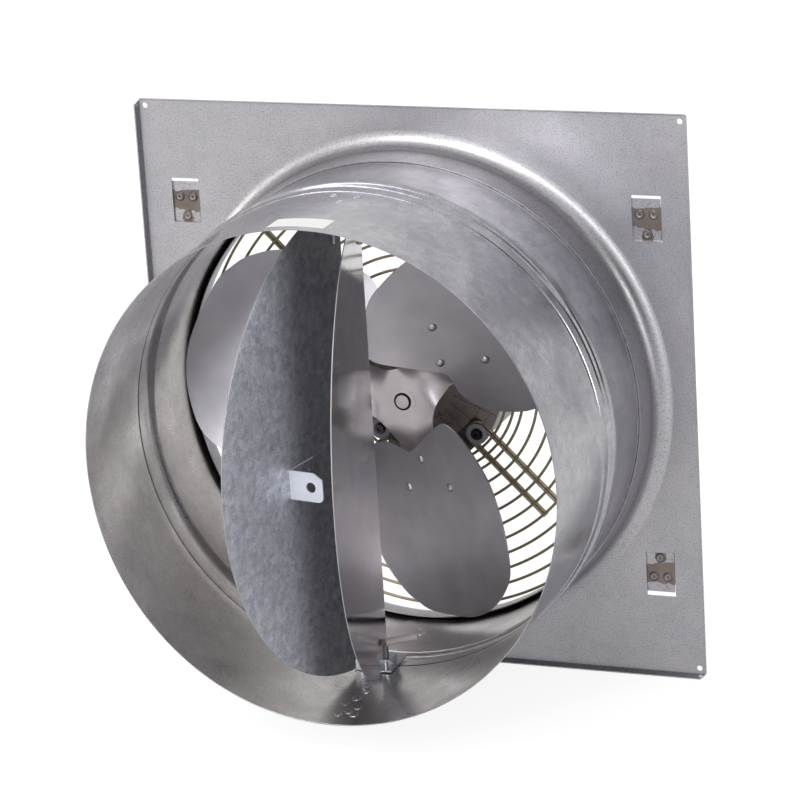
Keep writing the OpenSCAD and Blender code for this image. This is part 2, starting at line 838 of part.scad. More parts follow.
module terminal_box_lid() {
    color("slategray") about_fan() translate([0, 0, -box_back - lid_t]) difference() {
        translate([-box_w / 2, -box_h / 2, 0]) cube([box_w, box_h, lid_t]);
        at_lid_screws() translate([0, 0, -over])
            cylinder(r = screw_r + through_gap, h = lid_t + 2 * over);
    }
}

module lid_screws() {
    color("silver") about_fan() translate([0, 0, -box_back - lid_t]) at_lid_screws() {
        cylinder(r = screw_r, h = lid_t + screw_len - near_clear);
        mirror([0, 0, 1]) rivet_head(screw_head_r, screw_head_h);
    }
}

module run_capacitor() {
    color("white") about_fan()
        translate([-cap_len / 2, 0, -rear_back - box_wall - cap_r - touch_gap]) rotate([0, 90, 0])
            cylinder(r = cap_r, h = cap_len);
}

module cable_gland() {
    wall_y = -box_h / 2;
    color("black") about_fan() translate([0, wall_y, -box_back + box_deep / 2]) rotate([90, 0, 0])
        difference() {
            union() {
                translate([0, 0, -box_wall - gland_nut_t])
                    cylinder(r = gland_r, h = box_wall + gland_nut_t);
                translate([0, 0, -box_wall - gland_nut_t])
                    cylinder(r = gland_flange_r, h = gland_nut_t - touch_gap, $fn = 6);
                cylinder(r = gland_flange_r, h = gland_flange_t, $fn = 6);
                cylinder(r = gland_dome_r, h = gland_flange_t + gland_dome_len);
            }
            translate([0, 0, -box_wall - gland_nut_t - over])
                cylinder(r = gland_bore_r, h = box_wall + gland_nut_t + gland_flange_t
                    + gland_dome_len + 2 * over);
        }
}

// Bracket with its ear towards the fan axis; the base runs from base_from to base_to
module damper_bracket(seat_y, ear_y, base_from, base_to) {
    web_l = pivot_l - web_behind;
    difference() {
        union() {
            translate([-bracket_half, seat_y - bracket_t, base_from])
                cube([2 * bracket_half, bracket_t, base_to - base_from]);
            translate([-bracket_half, ear_y - bracket_t, web_l])
                cube([2 * bracket_half, seat_y - ear_y + bracket_t, bracket_t]);
            translate([-bracket_half, ear_y - bracket_t, web_l])
                cube([2 * bracket_half, bracket_t, web_behind + ear_ahead]);
        }
        for (x = [-pivot_x, pivot_x]) translate([x, ear_y - bracket_t - over, pivot_l])
            rotate([-90, 0, 0])
                cylinder(r = pin_r + pin_clear, h = seat_y - ear_y + bracket_t + 2 * over);
    }
}

module damper_top_bracket() {
    color("lightgray") about_fan()
        damper_bracket(top_seat_y, top_ear_y, pivot_l - web_behind, pivot_l + top_base_ahead);
}

module damper_bottom_bracket() {
    color("lightgray") about_fan() mirror([0, 1, 0])
        damper_bracket(bottom_seat_y, bottom_ear_y, pivot_l - bottom_base_behind, pivot_l + ear_ahead);
}

// Distance from a damper's middle plane to the root of its stop tube
tube_axis_gap = damper_t / 2 + tube_r * sin(tube_lean) + touch_gap;

module stop_tube() {
    translate([tube_along, tube_y, -tube_axis_gap]) rotate([0, tube_lean + 180, 0])
        difference() {
            cylinder(r = tube_r, h = tube_len);
            translate([0, 0, -over]) cylinder(r = tube_bore_r, h = tube_len + 2 * over);
        }
}

// Turns a closed damper built along plus X about its pivot by its opening angle
module opened(angle) {
    translate([pivot_x, 0, pivot_l]) rotate([0, -angle, 0]) children();
}

module open_right() { opened(right_open) children(); }
module open_left() { mirror([1, 0, 0]) opened(left_open) children(); }

// Distance from the axis to a damper's notch: s is 1 for the top and -1 for the bottom
function notch_y(s) = (s > 0 ? top_ear_y : bottom_ear_y) - bracket_t - notch_gap;

// Half-round plate with its straight edge at the inner side, seen from its pivot
module damper_plate() {
    difference() {
        union() {
            intersection() {
                translate([-pivot_x, 0, -damper_t / 2]) cylinder(r = damper_r, h = damper_t);
                translate([-pivot_inset, -damper_r, -damper_t])
                    cube([damper_r, 2 * damper_r, 2 * damper_t]);
            }
            for (s = [-1, 1]) translate([0, s * (notch_y(s) - knuckle_len / 2), 0]) rotate([90, 0, 0])
                cylinder(r = knuckle_r, h = knuckle_len, center = true);
        }
        for (s = [-1, 1]) {
            translate([-pivot_inset - over, s > 0 ? notch_y(s) : -damper_r - over, -damper_t])
                cube([notch_w + over, damper_r - notch_y(s) + over, 2 * damper_t]);
            translate([0, s * (notch_y(s) - knuckle_len / 2), 0]) rotate([90, 0, 0])
                cylinder(r = pin_r + seat_clear, h = knuckle_len + 2 * over, center = true);
        }
    }
}

module damper_pins() {
    for (s = [-1, 1]) translate([0, s * (notch_y(s) - knuckle_len + pin_start), 0])
        rotate([-90 * s, 0, 0])
            cylinder(r = pin_r, h = pin_end_y - notch_y(s) + knuckle_len - pin_start);
}

module damper_right() { color("gray") about_fan() open_right() damper_plate(); }
module damper_right_pins() { color("silver") about_fan() open_right() damper_pins(); }
module damper_right_stop_tube() { color("silver") about_fan() open_right() stop_tube(); }
module damper_left() {
    color("gray") about_fan() open_left() difference() {
        damper_plate();
        at_lug_rivets() translate([0, 0, -damper_t])
            cylinder(r = lug_rivet_r + seat_clear, h = 2 * damper_t);
    }
}
module damper_left_pins() { color("silver") about_fan() open_left() damper_pins(); }
module damper_left_stop_tube() { color("silver") about_fan() open_left() stop_tube(); }

module at_lug_rivets() {
    for (y = [lug_top - lug_rivet_down, lug_top - lug_h + lug_rivet_down])
        translate([lug_at - pivot_inset + lug_t - lug_foot + lug_rivet_in, y, 0]) children();
}

module damper_lug() {
    at_x = lug_at - pivot_inset;
    face = damper_t / 2;
    color("lightsteelblue") about_fan() open_left() difference() {
        union() {
            translate([at_x + lug_t - lug_foot, lug_top - lug_h, face + touch_gap])
                cube([lug_foot, lug_h, lug_t]);
            translate([at_x, lug_top, face + touch_gap])
                rotate([90, 0, 90]) linear_extrude(height = lug_t) {
                    polygon([
                        [0, 0],
                        [-lug_h, 0],
                        [-lug_h, lug_out - lug_round],
                        [-lug_h + lug_round, lug_out],
                        [-lug_cut_down, lug_out],
                        [0, lug_out - lug_cut_out]
                    ]);
                    translate([-lug_h + lug_round, lug_out - lug_round]) circle(r = lug_round);
                }
        }
        translate([at_x - over, lug_top - lug_hole_down, face + lug_hole_out]) rotate([0, 90, 0])
            cylinder(r = lug_hole_r, h = lug_t + 2 * over);
        at_lug_rivets() cylinder(r = lug_rivet_r + seat_clear, h = damper_t + 2 * lug_t);
    }
}

module lug_rivets() {
    top = damper_t / 2 + touch_gap + lug_t;
    color("silver") about_fan() open_left() at_lug_rivets() {
        translate([0, 0, -damper_t / 2]) cylinder(r = lug_rivet_r, h = damper_t / 2 + top);
        translate([0, 0, top]) rivet_head(lug_rivet_head_r, lug_rivet_head_h);
        translate([0, 0, -damper_t / 2]) mirror([0, 0, 1]) rivet_head(lug_rivet_head_r, lug_rivet_head_h);
    }
}

module motor_shaft() {
    from_l = -rear_back + bearing_in - shaft_hole_gap + touch_gap;
    color("lightgray") about_fan() translate([0, 0, from_l])
        cylinder(r = shaft_r, h = hub_l + shaft_ahead - from_l);
}

module rotor_core() {
    color("silver") about_fan() sleeve(rotor_r, shaft_r + seat_clear,
        -sleeve_back + core_end_gap - rotor_over, -sleeve_front - core_end_gap + rotor_over);
}

// Thin layer that follows the blades' camber, between two heights over the blades' back
module camber_layer(from_n, to_n) {
    translate([0, 0, blade_camber]) rotate([0, 90, 0]) difference() {
        cylinder(r = blade_camber - from_n, h = tip_r + over, $fn = camber_fn);
        translate([0, 0, -over])
            cylinder(r = blade_camber - to_n, h = tip_r + 3 * over, $fn = camber_fn);
    }
}

// Lays its children on the pitched plane of blade i: X out along the blade, Z off its back
module on_blade(i) {
    rotate([0, 0, impeller_angle + blade_turns[i]]) translate([0, 0, hub_l])
        rotate([blade_pitch, 0, 0]) children();
}

function camber_rise(s) = blade_camber - sqrt(blade_camber * blade_camber - s * s);

// Corner k of row i of a hub arm, whose section turns about the arm's front middle line
function arm_corner(i, k) =
    let (done = i < 2 ? 0 : ease((i - 1) / (twist_rows - 1)), turn = blade_pitch * done)
    let (s = (k == 0 || k == 3) ? -hub_arm_w : hub_arm_w)
    let (n = k < 2 ? -arm_sink * done : -hub_t + 2 * arm_sink * done)
    let (r = i == 0 ? arm_root : twist_from + twist_len * (i - 1) / (twist_rows - 1))
    [r, s * cos(turn) - n * sin(turn), s * sin(turn) + n * cos(turn)];

module hub_arm() {
    points = [for (i = [0 : twist_rows]) for (k = [0 : 3]) arm_corner(i, k)];
    sides = [for (i = [0 : twist_rows - 1]) for (k = [0 : 3])
        let (a = 4 * i + k, b = 4 * i + (k + 1) % 4) each [[a, b, b + 4], [a, b + 4, a + 4]]];
    last = 4 * twist_rows;
    polyhedron(points = points, faces = concat(sides,
        [[0, 3, 2], [0, 2, 1], [last, last + 1, last + 2], [last, last + 2, last + 3]]));
}

// Outline of the pad behind a blade's root
module pad_outline() {
    pad_from = twist_from + twist_len - pad_root;
    pad_mid = pad_from + pad_len - pad_round;
    polygon([
        [pad_from, -hub_arm_w - pad_proud],
        [pad_from + pad_root, -hub_arm_w - pad_proud],
        [pad_mid - 2 * pad_round, -pad_half],
        [pad_mid, -pad_half],
        [pad_mid, pad_half],
        [pad_mid - 2 * pad_round, pad_half],
        [pad_from + pad_root, hub_arm_w + pad_proud],
        [pad_from, hub_arm_w + pad_proud]
    ]);
    translate([pad_mid - over, -pad_half + pad_round])
        square([pad_round + over, 2 * (pad_half - pad_round)]);
    for (s = [-1, 1]) translate([pad_mid, s * (pad_half - pad_round)]) circle(r = pad_round);
}

module at_rivets() {
    for (p = rivet_place_shares)
        let (s = p[1] * tip_r / cos(blade_pitch))
        translate([p[0] * tip_r, s, camber_rise(s)]) rotate([asin(s / blade_camber), 0, 0]) children();
}

module impeller_hub() {
    color("darkgray") about_fan() difference() {
        union() {
            translate([0, 0, hub_l - hub_t]) cylinder(r = hub_r, h = hub_t);
            for (i = [0 : 2]) {
                rotate([0, 0, impeller_angle + blade_turns[i]]) translate([0, 0, hub_l]) hub_arm();
                on_blade(i) intersection() {
                    translate([0, 0, -2 * hub_t]) linear_extrude(height = 4 * hub_t) pad_outline();
                    camber_layer(-hub_t, 0);
                }
            }
        }
        translate([0, 0, hub_l - hub_t - over])
            cylinder(r = bush_r + seat_clear, h = hub_t + 2 * over);
        for (i = [0 : 2]) on_blade(i) at_rivets() translate([0, 0, -2 * hub_t])
            cylinder(r = rivet_r + seat_clear, h = 3 * hub_t);
    }
}

module hub_bush() {
    top_l = hub_l + bush_proud;
    color("gray") about_fan() difference() {
        translate([0, 0, top_l - bush_len]) cylinder(r = bush_r, h = bush_len);
        translate([0, 0, top_l - bush_len - over])
            cylinder(r = shaft_r + seat_clear, h = bush_len + 2 * over);
        translate([0, 0, top_l - bush_ring_deep]) cylinder(r = bush_ring_r, h = bush_ring_deep + over);
        translate([0, 0, top_l - set_screw_back]) rotate([0, 90, impeller_angle])
            cylinder(r = set_screw_r + seat_clear, h = bush_r + over);
    }
}

module hub_set_screw() {
    from_r = shaft_r + touch_gap;
    color("black") about_fan() translate([0, 0, hub_l + bush_proud - set_screw_back])
        rotate([0, 90, impeller_angle]) translate([0, 0, from_r])
            cylinder(r = set_screw_r, h = bush_r - from_r);
}

module blade(i) {
    outline = smooth_outline(blade_outline_shares, outline_steps) * tip_r;
    color("rosybrown") about_fan() intersection() {
        cylinder(r = tip_r, h = duct_len, center = true);
        on_blade(i) difference() {
            intersection() {
                translate([0, 0, -blade_room]) linear_extrude(height = 2 * blade_room)
                    polygon([for (p = outline) [p[0], p[1] / cos(blade_pitch)]]);
                camber_layer(0, blade_t);
            }
            at_rivets() translate([0, 0, -blade_t]) cylinder(r = rivet_r + seat_clear, h = 3 * blade_t);
        }
    }
}

module blade_1() { blade(0); }
module blade_2() { blade(1); }
module blade_3() { blade(2); }

module blade_rivets() {
    color("silver") about_fan() for (i = [0 : 2]) on_blade(i) at_rivets() {
        translate([0, 0, -hub_t - touch_gap]) cylinder(r = rivet_r, h = hub_t + blade_t + 2 * touch_gap);
        translate([0, 0, blade_t + touch_gap]) rivet_head(rivet_head_r, rivet_head_h);
        translate([0, 0, -hub_t - touch_gap]) mirror([0, 0, 1]) rivet_head(rivet_head_r, rivet_head_h);
    }
}

wall_plate();
throat_ring();
duct_rear_ring();
duct_front();
blank_label();
guard_rings();
guard_arms();
guard_clips();
mount_grommets();
mount_bolts();
mount_nuts();
motor_front_shield();
motor_sleeve();
motor_rear_shield();
motor_through_bolts();
stator_core();
stator_windings();
front_bearing();
rear_bearing();
terminal_box();
terminal_box_lid();
lid_screws();
run_capacitor();
cable_gland();
damper_top_bracket();
damper_bottom_bracket();
motor_shaft();
rotor_core();
impeller_hub();
hub_bush();
hub_set_screw();
blade_1();
blade_2();
blade_3();
blade_rivets();
damper_left();
damper_left_pins();
damper_left_stop_tube();
damper_lug();
lug_rivets();
damper_right();
damper_right_pins();
damper_right_stop_tube();
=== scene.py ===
"""Ducted exhaust fan with a square wall plate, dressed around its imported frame."""
import math

import bmesh
import bpy
from mathutils import Euler, Matrix, Vector
from mathutils.geometry import delaunay_2d_cdt


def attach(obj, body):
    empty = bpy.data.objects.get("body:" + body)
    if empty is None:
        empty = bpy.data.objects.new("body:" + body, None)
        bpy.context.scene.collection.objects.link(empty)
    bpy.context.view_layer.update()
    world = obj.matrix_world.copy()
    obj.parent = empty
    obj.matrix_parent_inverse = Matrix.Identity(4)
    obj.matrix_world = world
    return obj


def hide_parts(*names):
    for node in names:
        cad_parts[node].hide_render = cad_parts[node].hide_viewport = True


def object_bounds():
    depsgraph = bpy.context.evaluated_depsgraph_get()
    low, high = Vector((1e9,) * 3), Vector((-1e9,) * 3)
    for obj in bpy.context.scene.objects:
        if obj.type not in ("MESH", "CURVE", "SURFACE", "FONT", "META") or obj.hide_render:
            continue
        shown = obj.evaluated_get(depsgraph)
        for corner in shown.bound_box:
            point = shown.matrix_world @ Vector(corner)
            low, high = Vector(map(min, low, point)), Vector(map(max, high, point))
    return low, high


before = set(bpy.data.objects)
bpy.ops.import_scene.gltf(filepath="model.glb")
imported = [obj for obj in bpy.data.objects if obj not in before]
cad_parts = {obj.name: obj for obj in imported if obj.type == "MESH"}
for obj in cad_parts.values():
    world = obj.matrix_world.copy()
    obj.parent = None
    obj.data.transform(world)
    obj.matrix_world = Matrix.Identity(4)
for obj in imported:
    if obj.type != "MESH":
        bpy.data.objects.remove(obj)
cad_box = [list(corner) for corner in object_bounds()]
MM = 0.001

# Studio: a photographer's white sweep with a large softbox overhead, a smaller one in front
# and black flags at the right, which give bare sheet metal its dark and bright bands.
CAMERA_AT = (1.15432, -2.93078, 0.98624)
CAMERA_TURN = (72.38629, 3.35119, 20.78464)
CAMERA_LENS = 169.55
SENSOR = 36.0
FLOOR_BELOW = 0.0005
FLOOR_SIZE = 14.0
WORLD_DIFFUSE = 0.62
FLOOR_GLOW = 0.62
MIRRORED_GLOW = 0.35
FLOOR_WHITE = 0.86

scene = bpy.context.scene
scene.view_settings.view_transform = "Standard"


def linear(hex_colour):
    """sRGB hex such as #A0A0A0 as a linear RGBA colour."""
    parts = [int(hex_colour[i:i + 2], 16) / 255 for i in (1, 3, 5)]
    bright = [p / 12.92 if p <= 0.04045 else ((p + 0.055) / 1.055) ** 2.4 for p in parts]
    return (*bright, 1.0)


def socket(sockets, key):
    """The socket with that identifier, or else with that name."""
    named = [s for s in sockets if s.identifier == key] or [s for s in sockets if s.name == key]
    return named[0]


def add(tree, kind, settings=None, values=None, links=None):
    """Adds a node to the tree with its settings, its socket values and the links into it."""
    node = tree.nodes.new(kind)
    for name, value in (settings or {}).items():
        setattr(node, name, value)
    for key, value in (values or {}).items():
        socket(node.inputs, key).default_value = value
    for key, source in (links or {}).items():
        tree.links.new(source, socket(node.inputs, key))
    return node


def new_material(name):
    """An empty node material and its tree."""
    material = bpy.data.materials.new(name)
    material.use_nodes = True
    material.node_tree.nodes.clear()
    return material, material.node_tree


def close_material(tree, shader):
    add(tree, "ShaderNodeOutputMaterial", links={"Surface": shader})


def mesh_object(name, vertices, faces, material, smooth=True):
    """A new object at the origin with that mesh, in metres."""
    mesh = bpy.data.meshes.new(name)
    mesh.from_pydata([tuple(v) for v in vertices], [], faces)
    mesh.validate()
    made = bpy.data.objects.new(name, mesh)
    scene.collection.objects.link(made)
    mesh.materials.append(material)
    if smooth:
        mesh.polygons.foreach_set("use_smooth", [True] * len(mesh.polygons))
    return made


camera_data = bpy.data.cameras.new("camera")
camera_data.lens = CAMERA_LENS
camera_data.sensor_width = SENSOR
camera_data.clip_end = 60
camera = bpy.data.objects.new("camera", camera_data)
camera.location = CAMERA_AT
camera.rotation_euler = Euler([math.radians(a) for a in CAMERA_TURN], "XYZ")
scene.collection.objects.link(camera)
scene.camera = camera

world = bpy.data.worlds.new("white_studio")
scene.world = world
world.use_nodes = True
tree = world.node_tree
tree.nodes.clear()
ray = add(tree, "ShaderNodeLightPath")
seen = add(tree, "ShaderNodeMath", {"operation": "MAXIMUM"},
           links={"Value": ray.outputs["Is Camera Ray"], "Value_001": ray.outputs["Is Glossy Ray"]})
seen = add(tree, "ShaderNodeMath", {"operation": "MAXIMUM"},
           links={"Value": seen.outputs[0], "Value_001": ray.outputs["Is Transmission Ray"]})
strength = add(tree, "ShaderNodeMapRange", values={"To Min": WORLD_DIFFUSE, "To Max": 1.0},
               links={"Value": seen.outputs[0]})
sky = add(tree, "ShaderNodeBackground", values={"Color": (1, 1, 1, 1)},
          links={"Strength": strength.outputs[0]})
add(tree, "ShaderNodeOutputWorld", links={"Surface": sky.outputs[0]})

floor_paint, tree = new_material("white_sweep_paper")
ray = add(tree, "ShaderNodeLightPath")
mirrored = add(tree, "ShaderNodeMath", {"operation": "MULTIPLY"}, {"Value_001": MIRRORED_GLOW},
               {"Value": ray.outputs["Is Glossy Ray"]})
share = add(tree, "ShaderNodeMath", {"operation": "MULTIPLY_ADD"}, {"Value_001": FLOOR_GLOW},
            {"Value": ray.outputs["Is Camera Ray"], "Value_002": mirrored.outputs[0]})
paper = add(tree, "ShaderNodeBsdfDiffuse", values={"Color": (FLOOR_WHITE,) * 3 + (1,)})
glow = add(tree, "ShaderNodeEmission", values={"Color": (1, 1, 1, 1), "Strength": 1.3})
both = add(tree, "ShaderNodeMixShader", links={
    "Fac": share.outputs[0], "Shader": paper.outputs[0], "Shader_001": glow.outputs[0]})
close_material(tree, both.outputs[0])
floor_z = cad_box[0][2] - FLOOR_BELOW
half = FLOOR_SIZE / 2
floor = mesh_object("floor", [(-half, -half, floor_z), (half, -half, floor_z),
                              (half, half, floor_z), (-half, half, floor_z)],
                    [(0, 1, 2, 3)], floor_paint)


def softbox(name, at, aim, size, power, tint="#FFFFFF"):
    """A rectangular area lamp at one point, turned to another."""
    lamp = bpy.data.lights.new(name, "AREA")
    lamp.shape = "RECTANGLE"
    lamp.size, lamp.size_y = size
    lamp.energy = power
    lamp.color = linear(tint)[:3]
    made = bpy.data.objects.new(name, lamp)
    made.location = at
    made.rotation_euler = (Vector(aim) - Vector(at)).to_track_quat("-Z", "Y").to_euler()
    scene.collection.objects.link(made)
    return made


softbox("overhead_softbox", (-0.5, -2.2, 2.1), (0, 0, 0), (1.6, 1.1), 37, "#FFFCF8")
softbox("front_strip", (0.62, -2.9, 0.10), (0, 0, 0), (0.22, 1.3), 10, "#F8FBFF")
softbox("left_fill", (-2.6, -1.3, 0.7), (0, 0, 0), (1.2, 1.2), 14, "#FFF8EE")
softbox("top_strip", (-0.85, 1.15, 1.95), (0, 0, 0), (1.6, 0.4), 9)
softbox("right_strip", (2.7, 0.0, 0.55), (0, 0, 0), (0.35, 1.4), 17)
softbox("blade_card", (-0.12, -2.75, 1.12), (-0.15, 0, 0.05), (0.5, 0.4), 15)

flag_cloth, tree = new_material("black_flag_cloth")
cloth = add(tree, "ShaderNodeBsdfDiffuse", values={"Color": (0.03, 0.03, 0.035, 1)})
close_material(tree, cloth.outputs[0])


def flag(name, at, aim, size):
    """A black card that only reflections see."""
    turn = (Vector(aim) - Vector(at)).to_track_quat("-Z", "Y").to_matrix().to_4x4()
    place = Matrix.Translation(at) @ turn
    w, h = size[0] / 2, size[1] / 2
    card = mesh_object(name, [place @ Vector(c) for c in
                              ((-w, -h, 0), (w, -h, 0), (w, h, 0), (-w, h, 0))],
                       [(0, 1, 2, 3)], flag_cloth)
    card.visible_camera = False
    card.visible_diffuse = False
    card.visible_shadow = False


flag("right_flag", (2.6, -1.9, 0.9), (0, 0, 0), (1.9, 1.9))
flag("far_flag", (2.5, 1.6, 0.7), (0, 0, 0), (1.8, 1.6))
flag("upper_flag", (1.45, 0.12, 2.0), (0, 0, 0), (0.8, 1.2))

# Wall plate: hot-dip galvanised sheet steel, pressed and drawn into its collar in one piece.
# The zinc leaves a fine dark grain, soft clouds and faint crystals that break up reflections.


def zinc_sheet(name, light, dark, grain_mm=1.3, cloud_mm=55.0, spangle_mm=7.0,
               rough=(0.30, 0.44), speck=0.34, spangle=0.16, bump_mm=0.02, stretch=(1, 1, 1),
               metallic=1.0):
    """Galvanised steel: clouds between two tones, dark grain specks and a faint spangle."""
    material, tree = new_material(name)
    coords = add(tree, "ShaderNodeTexCoord")
    place = add(tree, "ShaderNodeMapping", values={"Scale": stretch},
                links={"Vector": coords.outputs["Object"]})
    cloud = add(tree, "ShaderNodeTexNoise",
                values={"Scale": 1 / (cloud_mm * MM), "Detail": 5.0, "Roughness": 0.55},
                links={"Vector": place.outputs[0]})
    tone = add(tree, "ShaderNodeMapRange", values={"From Min": 0.3, "From Max": 0.7},
               links={"Value": cloud.outputs[0]})
    base = add(tree, "ShaderNodeMix", {"data_type": "RGBA"},
               {"A_Color": linear(dark), "B_Color": linear(light)},
               {"Factor_Float": tone.outputs[0]})
    cells = add(tree, "ShaderNodeTexVoronoi", values={"Scale": 1 / (spangle_mm * MM)},
                links={"Vector": coords.outputs["Object"]})
    shade = add(tree, "ShaderNodeRGBToBW", links={"Color": cells.outputs["Color"]})
    shade = add(tree, "ShaderNodeMapRange",
                values={"To Min": 1 - spangle, "To Max": 1 + spangle / 2},
                links={"Value": shade.outputs[0]})
    grain = add(tree, "ShaderNodeTexNoise",
                values={"Scale": 1 / (grain_mm * MM), "Detail": 3.0, "Roughness": 0.6},
                links={"Vector": place.outputs[0]})
    dots = add(tree, "ShaderNodeMapRange",
               values={"From Min": 0.32, "From Max": 0.5, "To Min": 1 - speck, "To Max": 1.0},
               links={"Value": grain.outputs[0]})
    factor = add(tree, "ShaderNodeMath", {"operation": "MULTIPLY"},
                 links={"Value": shade.outputs[0], "Value_001": dots.outputs[0]})
    colour = add(tree, "ShaderNodeVectorMath", {"operation": "SCALE"},
                 links={"Vector": base.outputs["Result"], "Scale": factor.outputs[0]})
    rough_node = add(tree, "ShaderNodeMapRange",
                     values={"From Min": 0.3, "From Max": 0.7,
                             "To Min": rough[1], "To Max": rough[0]},
                     links={"Value": cloud.outputs[0]})
    height = add(tree, "ShaderNodeMath", {"operation": "ADD"},
                 links={"Value": grain.outputs[0], "Value_001": shade.outputs[0]})
    bump = add(tree, "ShaderNodeBump", values={"Strength": 0.35, "Distance": bump_mm * MM},
               links={"Height": height.outputs[0]})
    metal = add(tree, "ShaderNodeBsdfPrincipled", values={"Metallic": metallic},
                links={"Base Color": colour.outputs[0], "Roughness": rough_node.outputs[0],
                       "Normal": bump.outputs[0]})
    close_material(tree, metal.outputs[0])
    return material


def dress(material, *nodes):
    """Gives CAD nodes a finish through their material slots."""
    for name in nodes:
        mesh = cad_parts[name].data
        mesh.materials.clear()
        mesh.materials.append(material)


plate_zinc = zinc_sheet("hot_dip_galvanised_plate", "#B1AFB3", "#A7A6AB", spangle=0.05,
                        speck=0.42)
dress(plate_zinc, "wall_plate")

# Throat ring: a spun inlet ring of the same galvanised sheet inside the collar. Its bell mouth
# lies behind the plate and its lip reaches a little way into the rear duct ring.
dress(plate_zinc, "throat_ring")

# Duct rings: rolled galvanised sheet. The rear ring carries a rolled bead behind the joint and
# its spigot slides into the front duct, and each has a lapped seam at the bottom.
DUCT_R = 210.0
DUCT_T = 0.8
DUCT_LEN = 254.0
REAR_FROM_L = 24.0
SPIGOT_L = 134.0
JOINT_L = 124.5
TAIL_L = 134.2
PLAIN_L = 137.2
TAIL_FIT = 0.2
RIM_ROUND = 0.2
BEAD_FROM_L, BEAD_TOP_L, BEAD_DOWN_L = 100.5, 108.0, 116.5
BEAD_RISE = 3.5
BEAD_STEPS = 12
OUT_OF_ROUND = 6.5
TURN_STEPS = 288


def face_outwards(made):
    """Turns a closed mesh's normals out and drops any loose points."""
    work = bmesh.new()
    work.from_mesh(made.data)
    loose = [v for v in work.verts if not v.link_faces]
    bmesh.ops.delete(work, geom=loose, context="VERTS")
    bmesh.ops.recalc_face_normals(work, faces=work.faces)
    work.to_mesh(made.data)
    work.free()


def turned(name, profile, material, steps=TURN_STEPS, start=0.0, sweep=360.0):
    """Turns a closed profile of (radius, distance ahead of the plate) in mm about the fan axis."""
    closed = abs(sweep - 360.0) < 1e-6
    rows = steps if closed else steps + 1
    vertices, faces, count = [], [], len(profile)
    for i in range(rows):
        angle = math.radians(start + sweep * i / steps)
        c, s = math.cos(angle), math.sin(angle)
        vertices += [(r * c * MM, -l * MM, r * s * MM) for r, l in profile]
    for i in range(steps):
        a, b = i * count, ((i + 1) % rows) * count
        for k in range(count):
            m = (k + 1) % count
            faces.append((a + k, a + m, b + m, b + k))
    if not closed:
        faces += [tuple(range(count)), tuple(range((rows - 1) * count, rows * count))]
    made = mesh_object(name, vertices, faces, material)
    face_outwards(made)
    return made


def sharpen(made, angle=32.0):
    """Keeps edges steeper than this angle crisp under smooth shading."""
    made.data.set_sharp_from_angle(angle=math.radians(angle))


def line_inside(made):
    """Gives a ring's inner faces the paler inside zinc, painted light for the duct's inside."""
    made.data.materials.append(painted_light_inside_zinc)
    for face in made.data.polygons:
        if face.normal.dot(Vector((face.center.x, 0, face.center.z))) < 0:
            face.material_index = 1


def settle(made):
    """The front duct's free end is a little out of round: in at its left and down at its foot."""
    for vertex in made.data.vertices:
        x, y, z = vertex.co
        grow = min(max((-y / MM - PLAIN_L) / (DUCT_LEN - PLAIN_L), 0), 1)
        grow = grow * grow * (3 - 2 * grow)
        radius = math.hypot(x, z)
        push = OUT_OF_ROUND * MM * grow
        push *= max(-z / radius, 0) ** 2 - max(-x / radius, 0) ** 2
        vertex.co.x += push * x / radius
        vertex.co.z += push * z / radius


def bead_wall(offset):
    """The rolled bead's rise over the plain wall, as (radius, distance) from rear to front."""
    fall = BEAD_RISE - TAIL_FIT - DUCT_T if offset > 0 else BEAD_RISE
    points = []
    for i in range(BEAD_STEPS + 1):
        t = i / BEAD_STEPS
        swell = (1 - math.cos(math.pi * t)) / 2
        points.append((DUCT_R + offset + BEAD_RISE * swell,
                       BEAD_FROM_L + (BEAD_TOP_L - BEAD_FROM_L) * t))
    for i in range(1, BEAD_STEPS + 1):
        t = i / BEAD_STEPS
        swell = (1 - math.cos(math.pi * t)) / 2
        points.append((DUCT_R + offset + BEAD_RISE - fall * swell,
                       BEAD_DOWN_L + (JOINT_L - BEAD_DOWN_L) * t))
    return points


def spaced(start, end, count=12):
    """Distances from the start to the end in equal steps, both included."""
    return [start + (end - start) * k / count for k in range(count + 1)]


# Rolling has smoothed this zinc, so it mirrors the studio in soft streaks.
duct_zinc = zinc_sheet("galvanised_duct_sheet", "#B6B4B8", "#95949E", cloud_mm=70.0,
                       rough=(0.15, 0.28), speck=0.30)
# Painted light: the insides are a paler, warmer grey than the outside, for light inside the duct,
# and duller.
painted_light_inside_zinc = zinc_sheet("painted_light_duct_inside", "#D4D0D0", "#B6B1B1", cloud_mm=60.0,
                         rough=(0.24, 0.40), speck=0.34, spangle=0.08)
DUCT_OUT = DUCT_R + DUCT_T
rear_profile = [(DUCT_OUT, REAR_FROM_L)] + bead_wall(DUCT_T)
rear_profile += [(DUCT_OUT, JOINT_L), (DUCT_OUT, SPIGOT_L), (DUCT_R, SPIGOT_L)]
rear_profile += list(reversed(bead_wall(0.0))) + [(DUCT_R, REAR_FROM_L)]
rear_ring = turned("rear_ring", rear_profile, duct_zinc)
line_inside(rear_ring)
sharpen(rear_ring)
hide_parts("duct_rear_ring")
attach(rear_ring, "frame")

